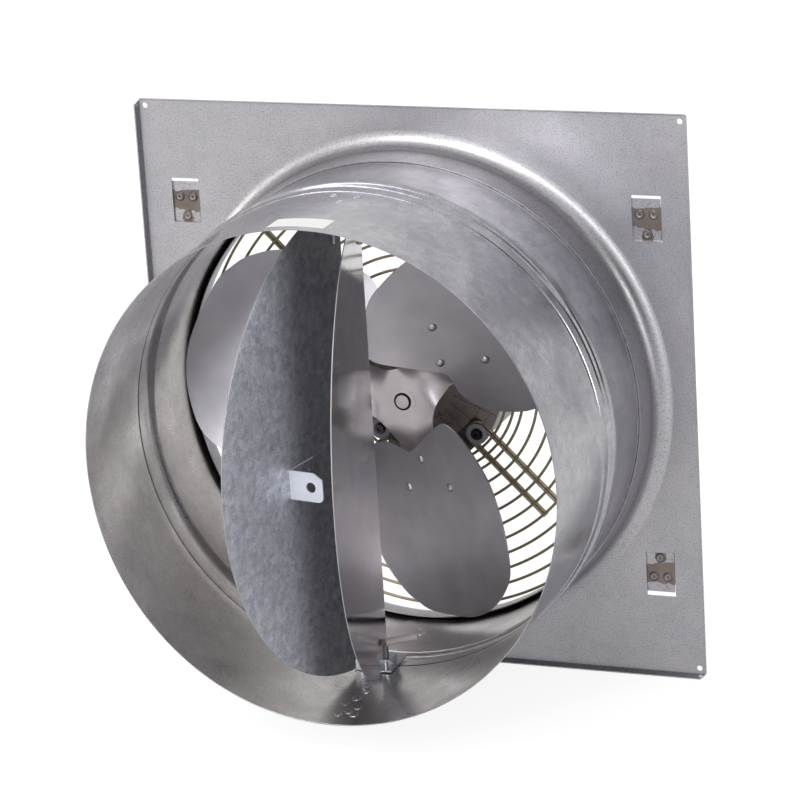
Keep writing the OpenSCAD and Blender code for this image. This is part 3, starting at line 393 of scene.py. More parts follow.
TAIL_R = DUCT_OUT + TAIL_FIT
front_profile = [(TAIL_R + DUCT_T, JOINT_L), (TAIL_R + DUCT_T, TAIL_L)]
front_profile += [(DUCT_OUT + DUCT_T * (1 - t) ** 2, TAIL_L + (PLAIN_L - TAIL_L) * t)
                  for t in (0.33, 0.66, 1)]
steps = spaced(PLAIN_L, DUCT_LEN - RIM_ROUND)[1:]
front_profile += [(DUCT_OUT, l) for l in steps]
front_profile += [(DUCT_OUT - RIM_ROUND, DUCT_LEN), (DUCT_R + RIM_ROUND, DUCT_LEN)]
front_profile += [(DUCT_R, l) for l in reversed(steps)]
front_profile += [(DUCT_R, PLAIN_L), (DUCT_R + 0.12, PLAIN_L - 1),
                  (TAIL_R, TAIL_L), (TAIL_R, JOINT_L)]
front_ring = turned("front_ring", front_profile, duct_zinc)
settle(front_ring)
line_inside(front_ring)
sharpen(front_ring)
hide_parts("duct_front")
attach(front_ring, "frame")

# Each seam's lap is a second layer inside the wall, and its far edge tapers into it.
LAP_START, LAP_TURN, LAP_HIDE = -93.8, 11.8, 0.75
LAP_STEPS = 24
LAP_BITE = 0.2
for lap_name, lap_from, lap_to in (("rear_lap", REAR_FROM_L, BEAD_FROM_L),
                                   ("front_lap", PLAIN_L, DUCT_LEN)):
    steps = spaced(lap_from, lap_to)
    strip = [(DUCT_R + LAP_BITE, l) for l in steps]
    strip += [(DUCT_R - DUCT_T, l) for l in reversed(steps)]
    lap = turned(lap_name, strip, painted_light_inside_zinc, LAP_STEPS, LAP_START, LAP_TURN)
    for vertex in lap.data.vertices:
        x, z = vertex.co.x, vertex.co.z
        if math.hypot(x, z) < DUCT_R * MM:
            along = (math.degrees(math.atan2(z, x)) - LAP_START) / LAP_TURN
            hidden = 1 + LAP_HIDE * max(along, 0) * MM / math.hypot(x, z)
            vertex.co.x, vertex.co.z = x * hidden, z * hidden
    settle(lap)
    sharpen(lap)
    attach(lap, "frame")

# Clinches: the lapped sheets are joined without rivets by punched rings, raised on the inside
# along the bottom seam and outside near the top of the joint.
CLINCHES = (
    [(-88.9, 0.713), (-87.8, 0.743), (-88.8, 0.799), (-90.4, 0.84), (-86.8, 0.861),
     (-88.1, 0.896), (-89.9, 0.921), (-86.3, 0.918), (-89, 0.177), (-87.6, 0.232)],
    [(92.4, 0.583), (86.7, 0.587), (89.1, 0.657)],
)


def head_shape(name, profile, material, steps=28):
    """A small turned head standing on z = 0, from (radius, height) in mm, foot to centre."""
    vertices, faces = [], []
    rows = len(profile) - 1
    for i in range(steps):
        a = 2 * math.pi * i / steps
        vertices += [(r * math.cos(a) * MM, r * math.sin(a) * MM, h * MM) for r, h in profile[:-1]]
    top = len(vertices)
    vertices.append((0, 0, profile[-1][1] * MM))
    for i in range(steps):
        a, b = i * rows, (i + 1) % steps * rows
        faces += [(a + k, b + k, b + k + 1, a + k + 1) for k in range(rows - 1)]
        faces.append((a + rows - 1, b + rows - 1, top))
    faces.append(tuple(i * rows for i in reversed(range(steps))))
    return mesh_object(name, vertices, faces, material)


def heads_tree():
    """Geometry Nodes that set one head on every point, turned to the point's facing."""
    tree = bpy.data.node_groups.new("set_heads", "GeometryNodeTree")
    face = tree.interface
    face.new_socket("Points", in_out="INPUT", socket_type="NodeSocketGeometry")
    face.new_socket("Head", in_out="INPUT", socket_type="NodeSocketObject")
    face.new_socket("Size", in_out="INPUT", socket_type="NodeSocketFloat")
    face.new_socket("Finish", in_out="INPUT", socket_type="NodeSocketMaterial")
    face.new_socket("Heads", in_out="OUTPUT", socket_type="NodeSocketGeometry")
    given = tree.nodes.new("NodeGroupInput")
    facing = add(tree, "GeometryNodeInputNamedAttribute", {"data_type": "FLOAT_VECTOR"},
                 {"Name": "facing"})
    turn = add(tree, "FunctionNodeAlignRotationToVector", {"axis": "Z"},
               links={"Vector": facing.outputs["Attribute"]})
    head = add(tree, "GeometryNodeObjectInfo", links={"Object": given.outputs["Head"]})
    placed = add(tree, "GeometryNodeInstanceOnPoints", links={
        "Points": given.outputs["Points"], "Instance": head.outputs["Geometry"],
        "Rotation": turn.outputs["Rotation"], "Scale": given.outputs["Size"]})
    real = add(tree, "GeometryNodeRealizeInstances", links={"Geometry": placed.outputs[0]})
    painted = add(tree, "GeometryNodeSetMaterial", links={
        "Geometry": real.outputs[0], "Material": given.outputs["Finish"]})
    out = tree.nodes.new("NodeGroupOutput")
    tree.links.new(painted.outputs[0], out.inputs[0])
    return tree


def grown(name, tree, source, inputs):
    """The plain mesh that the tree makes from the source object, which is then removed."""
    modifier = source.modifiers.new("tree", "NODES")
    modifier.node_group = tree
    keys = {s.name: s.identifier for s in tree.interface.items_tree if s.in_out == "INPUT"}
    for key, value in inputs.items():
        modifier[keys[key]] = value
    bpy.context.view_layer.update()
    graph = bpy.context.evaluated_depsgraph_get()
    mesh = bpy.data.meshes.new_from_object(source.evaluated_get(graph))
    bpy.data.objects.remove(source)
    mesh.name = name
    made = bpy.data.objects.new(name, mesh)
    scene.collection.objects.link(made)
    mesh.polygons.foreach_set("use_smooth", [True] * len(mesh.polygons))
    return made


def marked_points(name, places, attribute, kind, values):
    """A mesh of bare points, in metres, with one attribute."""
    mesh = bpy.data.meshes.new(name)
    mesh.from_pydata([tuple(p) for p in places], [], [])
    layer = mesh.attributes.new(attribute, kind, "POINT")
    if kind == "FLOAT_VECTOR":
        layer.data.foreach_set("vector", [c for v in values for c in v])
    else:
        layer.data.foreach_set("value", list(values))
    made = bpy.data.objects.new(name, mesh)
    scene.collection.objects.link(made)
    return made


SET_HEADS = heads_tree()


def heads(name, places, facings, shape, material, size=1.0):
    """Sets a copy of the head on every place and gives the joined mesh."""
    points = marked_points(name + "_points", places, "facing", "FLOAT_VECTOR", facings)
    made = grown(name, SET_HEADS, points, {"Head": shape, "Size": size, "Finish": material})
    sharpen(made, 50)
    bpy.data.objects.remove(shape)
    return made


def on_wall(turn, share, radius, facing):
    """Place and direction of a mark on the duct wall."""
    a = math.radians(turn)
    out = Vector((math.cos(a), 0, math.sin(a)))
    return out * radius * MM - Vector((0, share * DUCT_LEN * MM, 0)), out * facing


CLINCH_PROFILE = [(4.0, -0.9), (3.9, 0.05), (3.5, 0.26), (3.1, 0.34), (2.75, 0.26), (2.45, 0.08),
                  (2.1, 0.03), (0, 0.03)]
for clinch_name, marks, wall_r, facing in (
        ("seam_clinches", CLINCHES[0], DUCT_R - DUCT_T, -1),
        ("joint_clinches", CLINCHES[1], DUCT_R + DUCT_T, 1)):
    spots = [on_wall(turn, share, wall_r, facing) for turn, share in marks]
    # Inside clinches take the paler inside zinc, which carries painted light.
    finish = painted_light_inside_zinc if facing < 0 else duct_zinc
    shape = head_shape("clinch_shape", CLINCH_PROFILE, finish)
    clinches = heads(clinch_name, [s[0] for s in spots], [s[1] for s in spots], shape, finish)
    settle(clinches)
    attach(clinches, "frame")

# Blank label: a strip of white paper film stuck along the top of the front duct near its rim,
# slightly fibrous and without any print.
label_film, tree = new_material("white_paper_label")
coords = add(tree, "ShaderNodeTexCoord")
fibre = add(tree, "ShaderNodeTexNoise", values={"Scale": 1 / (1.6 * MM), "Detail": 4.0},
            links={"Vector": coords.outputs["Object"]})
tone = add(tree, "ShaderNodeMix", {"data_type": "RGBA"},
           {"A_Color": linear("#D9D8D8"), "B_Color": linear("#E6E5E5")},
           {"Factor_Float": fibre.outputs[0]})
bump = add(tree, "ShaderNodeBump", values={"Strength": 0.2, "Distance": 0.02 * MM},
           links={"Height": fibre.outputs[0]})
film = add(tree, "ShaderNodeBsdfPrincipled", values={"Roughness": 0.5},
           links={"Base Color": tone.outputs["Result"], "Normal": bump.outputs[0]})
close_material(tree, film.outputs[0])
dress(label_film, "blank_label")

# Guard: twelve rings of drawn steel wire, welded to four double-wire arms that reach from the
# motor's rubber mounts to clips under the plate's tabs. The passivated wire looks olive brown.
GUARD_L = -11.0
RING_WIRE = 2.6
RING_RADII = [208 - 13 * i for i in range(10)] + [83.5, 76.0]


def wire_finish(name, light, dark):
    """Dull passivated wire with drawing lines and darker patches."""
    material, tree = new_material(name)
    coords = add(tree, "ShaderNodeTexCoord")
    patch = add(tree, "ShaderNodeTexNoise", values={"Scale": 1 / (18 * MM), "Detail": 6.0},
                links={"Vector": coords.outputs["Object"]})
    fine = add(tree, "ShaderNodeTexNoise", values={"Scale": 1 / (0.7 * MM), "Detail": 3.0},
               links={"Vector": coords.outputs["Object"]})
    tone = add(tree, "ShaderNodeMix", {"data_type": "RGBA"},
               {"A_Color": linear(dark), "B_Color": linear(light)},
               {"Factor_Float": patch.outputs[0]})
    bump = add(tree, "ShaderNodeBump", values={"Strength": 0.3, "Distance": 0.03 * MM},
               links={"Height": fine.outputs[0]})
    rough = add(tree, "ShaderNodeMapRange", values={"To Min": 0.36, "To Max": 0.56},
                links={"Value": fine.outputs[0]})
    metal = add(tree, "ShaderNodeBsdfPrincipled", values={"Metallic": 0.85},
                links={"Base Color": tone.outputs["Result"], "Normal": bump.outputs[0],
                       "Roughness": rough.outputs[0]})
    close_material(tree, metal.outputs[0])
    return material


def rings_tree():
    """Geometry Nodes that make a wire ring of its own radius at every point."""
    tree = bpy.data.node_groups.new("wire_rings", "GeometryNodeTree")
    face = tree.interface
    face.new_socket("Points", in_out="INPUT", socket_type="NodeSocketGeometry")
    face.new_socket("Wire Radius", in_out="INPUT", socket_type="NodeSocketFloat")
    face.new_socket("Finish", in_out="INPUT", socket_type="NodeSocketMaterial")
    face.new_socket("Rings", in_out="OUTPUT", socket_type="NodeSocketGeometry")
    given = tree.nodes.new("NodeGroupInput")
    size = add(tree, "GeometryNodeInputNamedAttribute", {"data_type": "FLOAT"},
               {"Name": "ring_radius"})
    unit = add(tree, "GeometryNodeCurvePrimitiveCircle", values={"Resolution": 240, "Radius": 1.0})
    placed = add(tree, "GeometryNodeInstanceOnPoints", links={
        "Points": given.outputs["Points"], "Instance": unit.outputs[0],
        "Scale": size.outputs["Attribute"]},
        values={"Rotation": (math.radians(90), 0, 0)})
    loops = add(tree, "GeometryNodeRealizeInstances", links={"Geometry": placed.outputs[0]})
    section = add(tree, "GeometryNodeCurvePrimitiveCircle", values={"Resolution": 12},
                  links={"Radius": given.outputs["Wire Radius"]})
    wire = add(tree, "GeometryNodeCurveToMesh", links={
        "Curve": loops.outputs[0], "Profile Curve": section.outputs[0]})
    real = add(tree, "GeometryNodeRealizeInstances", links={"Geometry": wire.outputs[0]})
    painted = add(tree, "GeometryNodeSetMaterial", links={
        "Geometry": real.outputs[0], "Material": given.outputs["Finish"]})
    out = tree.nodes.new("NodeGroupOutput")
    tree.links.new(painted.outputs[0], out.inputs[0])
    return tree


guard_wire = wire_finish("passivated_guard_wire", "#B3A88F", "#857A66")
ring_points = marked_points("ring_points", [(0, -GUARD_L * MM, 0)] * len(RING_RADII),
                            "ring_radius", "FLOAT", [r * MM for r in RING_RADII])
guard_rings = grown("guard_wire_rings", rings_tree(), ring_points,
                    {"Wire Radius": RING_WIRE / 2 * MM, "Finish": guard_wire})
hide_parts("guard_rings")
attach(guard_rings, "frame")
dress(guard_wire, "guard_arms")

# Guard clips: short strips of zinc-plated steel, folded over the ends of the arms' wires and
# clinched to the plate's tabs. Their zinc has gone dull and brownish.
clip_zinc = zinc_sheet("dull_zinc_clip", "#8F8A88", "#75706E", grain_mm=0.9, cloud_mm=8.0,
                       spangle_mm=3.0, rough=(0.34, 0.5), speck=0.3)
dress(clip_zinc, "guard_clips")

# Motor mounts: moulded rubber bobbins in the arms' loops, each on a blackened hexagon socket
# bolt with a washer, and a zinc-plated nut behind the shield's ear.


def polymer(name, light, dark, rough, grain_mm, bump_mm=0.02):
    """Moulded rubber or plastic: close tones with a fine moulded grain."""
    material, tree = new_material(name)
    coords = add(tree, "ShaderNodeTexCoord")
    grain = add(tree, "ShaderNodeTexNoise", values={"Scale": 1 / (grain_mm * MM), "Detail": 4.0},
                links={"Vector": coords.outputs["Object"]})
    tone = add(tree, "ShaderNodeMix", {"data_type": "RGBA"},
               {"A_Color": linear(dark), "B_Color": linear(light)},
               {"Factor_Float": grain.outputs[0]})
    bump = add(tree, "ShaderNodeBump", values={"Strength": 0.3, "Distance": bump_mm * MM},
               links={"Height": grain.outputs[0]})
    body = add(tree, "ShaderNodeBsdfPrincipled", values={"Roughness": rough},
               links={"Base Color": tone.outputs["Result"], "Normal": bump.outputs[0]})
    close_material(tree, body.outputs[0])
    return material


def worked_metal(name, light, dark, rough, line_mm, stretch=(1, 1, 1), bump_mm=0.01,
                 metallic=1.0):
    """Bare or plated metal with the fine lines of its drawing, turning or brushing."""
    material, tree = new_material(name)
    coords = add(tree, "ShaderNodeTexCoord")
    place = add(tree, "ShaderNodeMapping", values={"Scale": stretch},
                links={"Vector": coords.outputs["Object"]})
    lines = add(tree, "ShaderNodeTexNoise", values={"Scale": 1 / (line_mm * MM), "Detail": 5.0},
                links={"Vector": place.outputs[0]})
    soft = add(tree, "ShaderNodeTexNoise", values={"Scale": 1 / (30 * MM), "Detail": 2.0},
               links={"Vector": coords.outputs["Object"]})
    blend = add(tree, "ShaderNodeMath", {"operation": "MULTIPLY_ADD"}, {"Value_001": 0.5},
                {"Value": lines.outputs[0], "Value_002": soft.outputs[0]})
    tone = add(tree, "ShaderNodeMapRange", values={"From Min": 0.5, "From Max": 1.0},
               links={"Value": blend.outputs[0]})
    colour = add(tree, "ShaderNodeMix", {"data_type": "RGBA"},
                 {"A_Color": linear(dark), "B_Color": linear(light)},
                 {"Factor_Float": tone.outputs[0]})
    shine = add(tree, "ShaderNodeMapRange", values={"To Min": rough[0], "To Max": rough[1]},
                links={"Value": lines.outputs[0]})
    bump = add(tree, "ShaderNodeBump", values={"Strength": 0.3, "Distance": bump_mm * MM},
               links={"Height": lines.outputs[0]})
    metal = add(tree, "ShaderNodeBsdfPrincipled", values={"Metallic": metallic},
                links={"Base Color": colour.outputs["Result"], "Roughness": shine.outputs[0],
                       "Normal": bump.outputs[0]})
    close_material(tree, metal.outputs[0])
    return material


# Grey rubber with a soft gloss from its mould.
mount_rubber = polymer("moulded_mount_rubber", "#A9ADB5", "#8C9098", 0.42, 0.8)
# Zinc plate is a bright silver with a faint blue.
bright_zinc = worked_metal("bright_zinc_plate", "#C9CBD0", "#A9ACB3", (0.2, 0.36), 0.5)
dress(mount_rubber, "mount_grommets")
# Black oxide leaves the bolts nearly black, with a low sheen.
black_oxide = worked_metal("black_oxide_steel", "#4A4A4E", "#333336", (0.3, 0.45), 0.5)
dress(black_oxide, "mount_bolts")
dress(bright_zinc, "mount_nuts")

# Tab clinches: each clip is clinched to its tab in three rings. Painted shade lies in a ragged
# band around the pair and a patch around the single one: thin dark grey-brown plates, with darker
# rings.
TAB_SHADE_BAND = [(-13.3, 9.8), (-8.2, 8.3), (-3.3, 8.7), (2.5, 9.9), (7.0, 9.4), (12.2, 10.4),
               (12.2, -10.2), (8.6, -10.9), (5.8, -9.5), (0.1, -9.9), (-3.9, -8.7), (-7.1, -8.2),
               (-10.4, -7.3), (-13.3, -6.9), (-12.2, -4.4), (-13.3, -2.2)]
TAB_SHADE_PATCH = [(-4.6, -13.4), (-5.2, -16.5), (-4.0, -20.3), (4.6, -20.3), (5.6, -17.2),
                (5.1, -13.2), (3.2, -9.7), (-2.6, -9.6)]
TAB_SHADE_LEFT, TAB_SHADE_RIGHT, TAB_SHADE_FOOT = -13.3, 12.2, -20.3
TAB_SHADE_RAGGED, TAB_SHADE_WAVE, TAB_SHADE_FREE = 0.7, 3.1, 12.0
RING_SPOTS = ((-6.3, 3.5), (6.3, 3.5), (0.0, -14.0))
TAB_X, TAB_Z, TAB_L = 212.5, 159.5, -2.0
# Painted shade: the dark grey-brown of the band and patch, and the darker rings within them.
tab_shade_zinc = worked_metal("painted_shade_clinch_zinc", "#857B76", "#6B615C", (0.3, 0.44), 1.2)
tab_shade_ring = worked_metal("painted_shade_clinch_ring", "#77706D", "#544E4C", (0.24, 0.4), 0.8)


def plates(name, outlines, from_l, to_l, material):
    """Thin flat plates with those (x, z) outlines in mm, between two distances ahead."""
    vertices, faces = [], []
    for outline in outlines:
        start, count = len(vertices), len(outline)
        for l in (from_l, to_l):
            vertices += [(x * MM, -l * MM, z * MM) for x, z in outline]
        faces.append(tuple(range(start, start + count)))
        faces.append(tuple(range(start + 2 * count - 1, start + count - 1, -1)))
        faces += [(start + k, start + count + k, start + count + (k + 1) % count,
                   start + (k + 1) % count) for k in range(count)]
    made = mesh_object(name, vertices, faces, material, smooth=False)
    face_outwards(made)
    return made


bands, spots = [], []
for side in (-1, 1):
    for up in (-1, 1):
        ragged = [TAB_SHADE_RAGGED * math.sin(TAB_SHADE_WAVE * k + side + 2 * up)
                  for k in range(len(TAB_SHADE_BAND))]
        for outline in (TAB_SHADE_BAND, TAB_SHADE_PATCH):
            bands.append([])
            for (x, z), r in zip(outline, ragged):
                x += r * (abs(x) < TAB_SHADE_FREE)
                x = min(max(x, TAB_SHADE_LEFT), TAB_SHADE_RIGHT)
                z = max(z + r, TAB_SHADE_FOOT)
                bands[-1].append((side * TAB_X + x, up * (TAB_Z + z)))
        spots += [Vector((side * TAB_X + x, -TAB_L - 0.02, up * (TAB_Z + z))) * MM
                  for x, z in RING_SPOTS]
# The band and patch are painted shade, laid on each tab as thin dark plates.
tab_scorch = plates("tab_scorch", bands, TAB_L - 0.05, TAB_L + 0.03, tab_shade_zinc)
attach(tab_scorch, "frame")
TAB_RING = [(4.5, -0.1), (4.4, 0.25), (4.0, 0.75), (3.2, 0.95), (2.4, 0.75), (2.0, 0.3),
            (1.2, 0.12), (0, 0.2)]
shape = head_shape("tab_ring_shape", TAB_RING, tab_shade_ring)
tab_rings = heads("tab_rings", spots, [Vector((0, -1, 0))] * len(spots), shape, tab_shade_ring)
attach(tab_rings, "frame")

# Motor: two die-cast shields, the front one ribbed, with a painted sheet sleeve between them,
# held together by four long bolts. The castings are grey-brown and slightly rough.


def casting(name, light, dark):
    """Die-cast aluminium gone dull: mottled, with a fine cast skin."""
    material, tree = new_material(name)
    coords = add(tree, "ShaderNodeTexCoord")
    patch = add(tree, "ShaderNodeTexNoise", values={"Scale": 1 / (22 * MM), "Detail": 6.0},
                links={"Vector": coords.outputs["Object"]})
    skin = add(tree, "ShaderNodeTexNoise", values={"Scale": 1 / (1.1 * MM), "Detail": 4.0},
               links={"Vector": coords.outputs["Object"]})
    tone = add(tree, "ShaderNodeMix", {"data_type": "RGBA"},
               {"A_Color": linear(dark), "B_Color": linear(light)},
               {"Factor_Float": patch.outputs[0]})
    rough = add(tree, "ShaderNodeMapRange", values={"To Min": 0.42, "To Max": 0.66},
                links={"Value": skin.outputs[0]})
    bump = add(tree, "ShaderNodeBump", values={"Strength": 0.5, "Distance": 0.08 * MM},
               links={"Height": skin.outputs[0]})
    metal = add(tree, "ShaderNodeBsdfPrincipled", values={"Metallic": 0.8},
                links={"Base Color": tone.outputs["Result"], "Roughness": rough.outputs[0],
                       "Normal": bump.outputs[0]})
    close_material(tree, metal.outputs[0])
    return material


shield_casting = casting("die_cast_shield", "#A79E99", "#857C77")
dress(shield_casting, "motor_front_shield", "motor_rear_shield")
# Enamel covers the sleeve in an even dark grey.
sleeve_paint = polymer("grey_enamel_sleeve", "#6A6C70", "#606266", 0.38, 1.4, 0.03)
dress(sleeve_paint, "motor_sleeve")
# Turning leaves fine bright rings about the axis.
turned_steel = worked_metal("turned_steel", "#B4B1AF", "#8F8B88", (0.22, 0.38), 0.3, (1, 6, 1))
dress(turned_steel, "motor_shaft", "motor_through_bolts", "front_bearing", "rear_bearing",
      "hub_set_screw")
# The stacked sheets show as fine lines round the core.
core_steel = worked_metal("stacked_core_steel", "#8D8D92", "#6F6F74", (0.35, 0.5), 0.5,
                          (0.1, 8, 0.1))
dress(core_steel, "stator_core", "rotor_core")
# Varnish turns the copper wire amber.
winding_copper = worked_metal("varnished_copper_wire", "#B87A48", "#8E5830", (0.3, 0.45), 0.8)
dress(winding_copper, "stator_windings")

# Terminal box: moulded box with a screwed lid behind the motor, which holds the run capacitor,
# and a nylon gland for the cable.
# The box is matt dark grey, the gland near black, the capacitor's can a smooth off-white.
box_plastic = polymer("moulded_box_plastic", "#57595C", "#4D4F52", 0.5, 0.9)
dress(box_plastic, "terminal_box", "terminal_box_lid")
gland_nylon = polymer("black_gland_nylon", "#242424", "#191919", 0.48, 0.7)
dress(gland_nylon, "cable_gland")
can_plastic = polymer("white_capacitor_can", "#DBDAD4", "#D2D1CB", 0.35, 2.0)
dress(can_plastic, "run_capacitor")
dress(bright_zinc, "lid_screws")

# Impeller: three pressed sheet-steel blades, riveted to a three-armed pressed hub with a turned
# bush on the motor's shaft. The blades have a satin grey mill finish.
blade_steel = worked_metal("satin_mill_steel", "#CECDD3", "#BCBBC3", (0.3, 0.42), 0.9,
                           (1.0, 1.0, 1.6))
dress(blade_steel, "blade_1", "blade_2", "blade_3")
# The hub's zinc is as satin as the blades but a shade warmer.
hub_satin = worked_metal("satin_zinc_hub", "#AEA9AC", "#A09B9E", (0.26, 0.38), 0.8)
dress(hub_satin, "hub_bush")
# Painted shade: the groove round the shaft's end is given an almost black finish for the shade in
# its narrow depth.
groove_shade_black, tree = new_material("painted_shade_groove")
film = add(tree, "ShaderNodeBsdfPrincipled", values={
    "Base Color": linear("#1C1A1A"), "Roughness": 0.5, "Metallic": 0.3})
close_material(tree, film.outputs[0])
# Faces inside the groove's radius, near the front, take the painted shade.
GROOVE_R, GROOVE_FROM_L = 8.02, 42.0
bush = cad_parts["hub_bush"].data
bush.materials.append(groove_shade_black)
for face in bush.polygons:
    radius = math.hypot(face.center.x, face.center.z)
    if radius < GROOVE_R * MM and -face.center.y > GROOVE_FROM_L * MM:
        face.material_index = 1

# Hub: a spider pressed from 2.5 mm sheet. Its flat round middle runs out into three arms that
# twist up to the blades' pitch, and each ends in a wide pad behind its blade's root.
BLADES = 3
HUB_L = 45.5
BLADE_TURN = 44.5
PITCH = 30.0
ARM_HALF = 21.0
MIDDLE_R = 29.0
HUB_BORE = 11.55
HUB_T = 2.5
TWIST_FROM, TWIST_TO = 16.0, 44.0
CAMBER_R = 1000.0
CORNER_SOFT = 2.5
PAD_END, PAD_HALF, PAD_ROUND = 84.9, 34.0, 12.0
MESH_STEP = 1.8
BORE_STEPS = 60
BORE_CLEAR, EDGE_CLEAR_SQUARED = 0.6, 0.8


def half_edge():
    """Half of an arm's edge in the flat, from midway between two arms out to the arm's end."""
    points = []
    for k in range(25):
        turn = math.radians(60 - 31 * k / 24)
        side = ARM_HALF / math.sin(turn)
        radius = side + CORNER_SOFT * math.log(1 + math.exp((MIDDLE_R - side) / CORNER_SOFT))
        points.append((radius * math.cos(turn), radius * math.sin(turn)))
    points += [(41.0, 22.3), (48.9, PAD_HALF - 5.5), (54.0, PAD_HALF - 1.2), (60.0, PAD_HALF)]
    for k in range(9):
        a = math.radians(90 - 90 * k / 8)
        points.append((PAD_END - PAD_ROUND + PAD_ROUND * math.cos(a),
                       PAD_HALF - PAD_ROUND + PAD_ROUND * math.sin(a)))
    return points


def turned_by(point, angle):
    c, s = math.cos(angle), math.sin(angle)
    return point[0] * c - point[1] * s, point[0] * s + point[1] * c


def within(point, outline):
    """Whether a flat point lies inside a closed outline."""
    x, y = point
    inside = False
    for (ax, ay), (bx, by) in zip(outline, outline[1:] + outline[:1]):
        if (ay > y) != (by > y) and x < ax + (y - ay) * (bx - ax) / (by - ay):
            inside = not inside
    return inside


def pressed(point, depth):
    """A flat point of the spider pressed to its place, so far under its front face."""
    around = math.atan2(point[1], point[0])
    headings = [math.radians(BLADE_TURN + 360 / BLADES * i) for i in range(BLADES)]
    heading = max(headings, key=lambda h: math.cos(around - h))
    u, s = turned_by(point, -heading)
    t = min(max((u - TWIST_FROM) / (TWIST_TO - TWIST_FROM), 0), 1)
    blend = t * t * (3 - 2 * t)
    turn = math.radians(PITCH) * blend
    n = (CAMBER_R - math.sqrt(CAMBER_R ** 2 - s * s)) * blend - depth
    across = s * math.cos(turn) - n * math.sin(turn)
    ahead = HUB_L + s * math.sin(turn) + n * math.cos(turn)
    x, z = turned_by((u, across), heading)
    return Vector((x, -ahead, z)) * MM


def pressed_spider(name, material):
    edge = half_edge()
    outline = []
    for i in range(BLADES):
        heading = math.radians(BLADE_TURN + 360 / BLADES * i)
        arm = [(u, -s) for u, s in edge] + [(u, s) for u, s in reversed(edge)][:-1]
        outline += [turned_by(p, heading) for p in arm]
    bore = [turned_by((HUB_BORE, 0), math.radians(360 / BORE_STEPS * k))
            for k in range(BORE_STEPS)]
    points = list(outline) + bore
    count = int(PAD_END / MESH_STEP) + 2
    for i in range(-count, count):
        for j in range(-count, count):
            spot = ((i + 0.5 * (j % 2)) * MESH_STEP, j * MESH_STEP * math.sqrt(0.75))
            if math.hypot(*spot) > HUB_BORE + BORE_CLEAR and within(spot, outline):
                nearest = min((spot[0] - x) ** 2 + (spot[1] - y) ** 2 for x, y in outline)
                if nearest > EDGE_CLEAR_SQUARED:
                    points.append(spot)
    edges = [(k, (k + 1) % len(outline)) for k in range(len(outline))]
    edges += [(len(outline) + k, len(outline) + (k + 1) % BORE_STEPS)
              for k in range(BORE_STEPS)]
    flat, _, cells, *_ = delaunay_2d_cdt([Vector(p) for p in points], edges, [], 1, 1e-5)
    cells = [c for c in cells
             if sum((flat[k] for k in c), Vector((0, 0))).length / 3 > HUB_BORE - 0.1]
    size = len(flat)
    vertices = [pressed(p, 0) for p in flat] + [pressed(p, HUB_T) for p in flat]
    faces = [tuple(c) for c in cells] + [tuple(size + k for k in reversed(c)) for c in cells]
    rims = {}
    for c in cells:
        for a, b in zip(c, c[1:] + c[:1]):
            rims[(a, b)] = (b, a) not in rims
            if (b, a) in rims:
                rims[(a, b)] = rims[(b, a)] = False
    faces += [(b, a, a + size, b + size) for (a, b), open_edge in rims.items() if open_edge]
    made = mesh_object(name, vertices, faces, material)
    face_outwards(made)
    sharpen(made, 45)
    return made


hub = pressed_spider("hub_spider", hub_satin)
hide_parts("impeller_hub")
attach(hub, "impeller")

# Blade rivets: three domed steel rivets hold each blade to its pad of the spider. Their rounded
# heads stand square to the blade's curved face.
RIVET_SHARES = ((0.263, 0.005), (0.392, -0.119), (0.392, 0.134))
TIP_R = 201.5
BLADE_T = 1.4
# Setting has burnished the rivets' heads.
rivet_steel = worked_metal("domed_rivet_steel", "#B5AFAE", "#9F9998", (0.22, 0.34), 0.6)


def on_blade(i):
    """Matrix of blade i's pitched plane, in metres: X out along it and Z off its back."""
    plane = Matrix.Rotation(math.radians(BLADE_TURN + 360 / BLADES * i), 4, "Z")
    plane = plane @ Matrix.Translation((0, 0, HUB_L * MM))
    plane = plane @ Matrix.Rotation(math.radians(PITCH), 4, "X")
    return Matrix.Rotation(math.radians(90), 4, "X") @ plane


RIVET_PROFILE = [(4.2, -0.4), (4.2, 0.1), (3.95, 0.55), (3.35, 1.05), (2.5, 1.42), (1.3, 1.65),
                 (0, 1.7)]
places, facings = [], []
for i in range(BLADES):
    plane = on_blade(i)
    for out, across in RIVET_SHARES:
        along = across * TIP_R / math.cos(math.radians(PITCH))
        rise = CAMBER_R - math.sqrt(CAMBER_R ** 2 - along ** 2)
        places.append(plane @ (Vector((out * TIP_R, along, BLADE_T + rise)) * MM))
        facings.append(plane.to_3x3() @ Vector((0, -along, CAMBER_R)))
shape = head_shape("rivet_shape", RIVET_PROFILE, rivet_steel)
blade_rivets = heads("blade_rivet_heads", places, facings, shape, rivet_steel)
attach(blade_rivets, "impeller")
dress(rivet_steel, "blade_rivets")
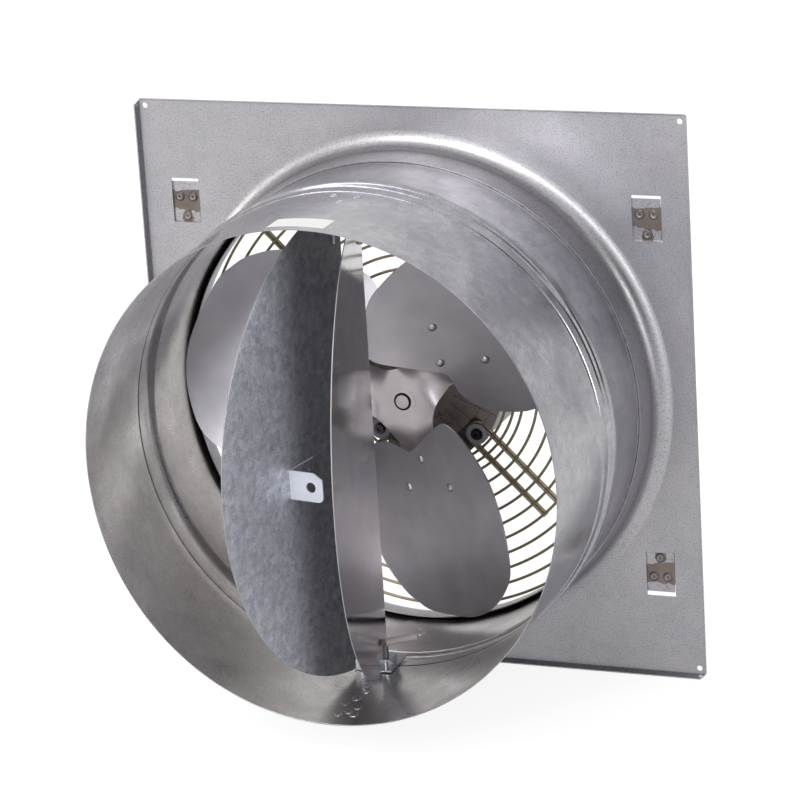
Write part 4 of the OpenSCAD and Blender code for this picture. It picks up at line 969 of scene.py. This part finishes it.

# Dampers: two half-round plates of dull galvanised sheet on steel pins, with rolled knuckles.
# The left one carries a drilled lug, and each has a short stop tube near the bottom. The left
# plate is mottled, and painted shade darkens it towards its hinge, where the two plates close in.
LEFT_OPEN, RIGHT_OPEN = 80.7, 77.6
HINGE_SHADE_FROM, HINGE_SHADE_TO, HINGE_SHADE_TONE = 205.0, 260.0, 0.34
damper_zinc = zinc_sheet("dull_galvanised_damper", "#E4E6EF", "#C2C6D2", grain_mm=1.8,
                         cloud_mm=9.0, spangle_mm=5.0, rough=(0.42, 0.58), speck=0.34,
                         spangle=0.25, metallic=0.45)
tree = damper_zinc.node_tree
body = next(node for node in tree.nodes if node.type == "BSDF_PRINCIPLED")
unshaded_colour = body.inputs["Base Color"].links[0].from_socket
# Painted shade: the left plate's colour falls to about a third towards its hinge.
coords = add(tree, "ShaderNodeTexCoord")
place = add(tree, "ShaderNodeSeparateXYZ", links={"Vector": coords.outputs["Object"]})
hinge_shade = add(tree, "ShaderNodeMapRange", {"interpolation_type": "SMOOTHSTEP"},
            {"From Min": -HINGE_SHADE_TO * MM, "From Max": -HINGE_SHADE_FROM * MM,
             "To Min": 1.0, "To Max": HINGE_SHADE_TONE}, {"Value": place.outputs["Y"]})
shaded_colour = add(tree, "ShaderNodeVectorMath", {"operation": "SCALE"},
              links={"Vector": unshaded_colour, "Scale": hinge_shade.outputs[0]})
tree.links.new(shaded_colour.outputs[0], body.inputs["Base Color"])
dress(damper_zinc, "damper_left")
# The right plate is smooth enough to mirror the guard.
bright_sheet = zinc_sheet("bright_galvanised_damper", "#C6C4C8", "#B6B4BA", grain_mm=2.0,
                          cloud_mm=30.0, rough=(0.08, 0.16), speck=0.12, spangle=0.06)
dress(bright_sheet, "damper_right")
dress(bright_zinc, "damper_left_pins", "damper_right_pins", "damper_top_bracket",
      "damper_bottom_bracket")
# The tubes' plating is pale and dull, and the lug's a pale blue.
tube_zinc = worked_metal("pale_zinc_tube", "#DAD2D2", "#C6BEBE", (0.4, 0.55), 0.6, metallic=0.3)
dress(tube_zinc, "damper_left_stop_tube", "damper_right_stop_tube")
# Shearing leaves the plates' edges bare, grey and matt.
cut_edge = worked_metal("cut_sheet_edge", "#A2A2A6", "#8A8A8E", (0.45, 0.6), 0.8, metallic=0.7)


def second_finish(node, material, facing, parallel):
    """Gives a node's faces along, or across, that direction a second finish."""
    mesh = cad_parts[node].data
    mesh.materials.append(material)
    for face in mesh.polygons:
        if (abs(face.normal.dot(facing)) > 0.7) == parallel:
            face.material_index = 1


def plate_facing(opened):
    """Direction that a damper faces at rest, opened that many degrees."""
    return Vector((math.sin(math.radians(opened)), -math.cos(math.radians(opened)), 0))


second_finish("damper_left", cut_edge, plate_facing(LEFT_OPEN), False)
second_finish("damper_right", cut_edge, plate_facing(180 - RIGHT_OPEN), False)
lug_zinc = worked_metal("pale_blue_zinc_lug", "#E2E5EE", "#CDD1DC", (0.3, 0.4), 0.8, metallic=0.35)
dress(lug_zinc, "damper_lug")
# The lug's foot lies along the left plate and takes its finish, painted shade included.
second_finish("damper_lug", damper_zinc, plate_facing(LEFT_OPEN), True)
dress(bright_zinc, "lug_rivets")
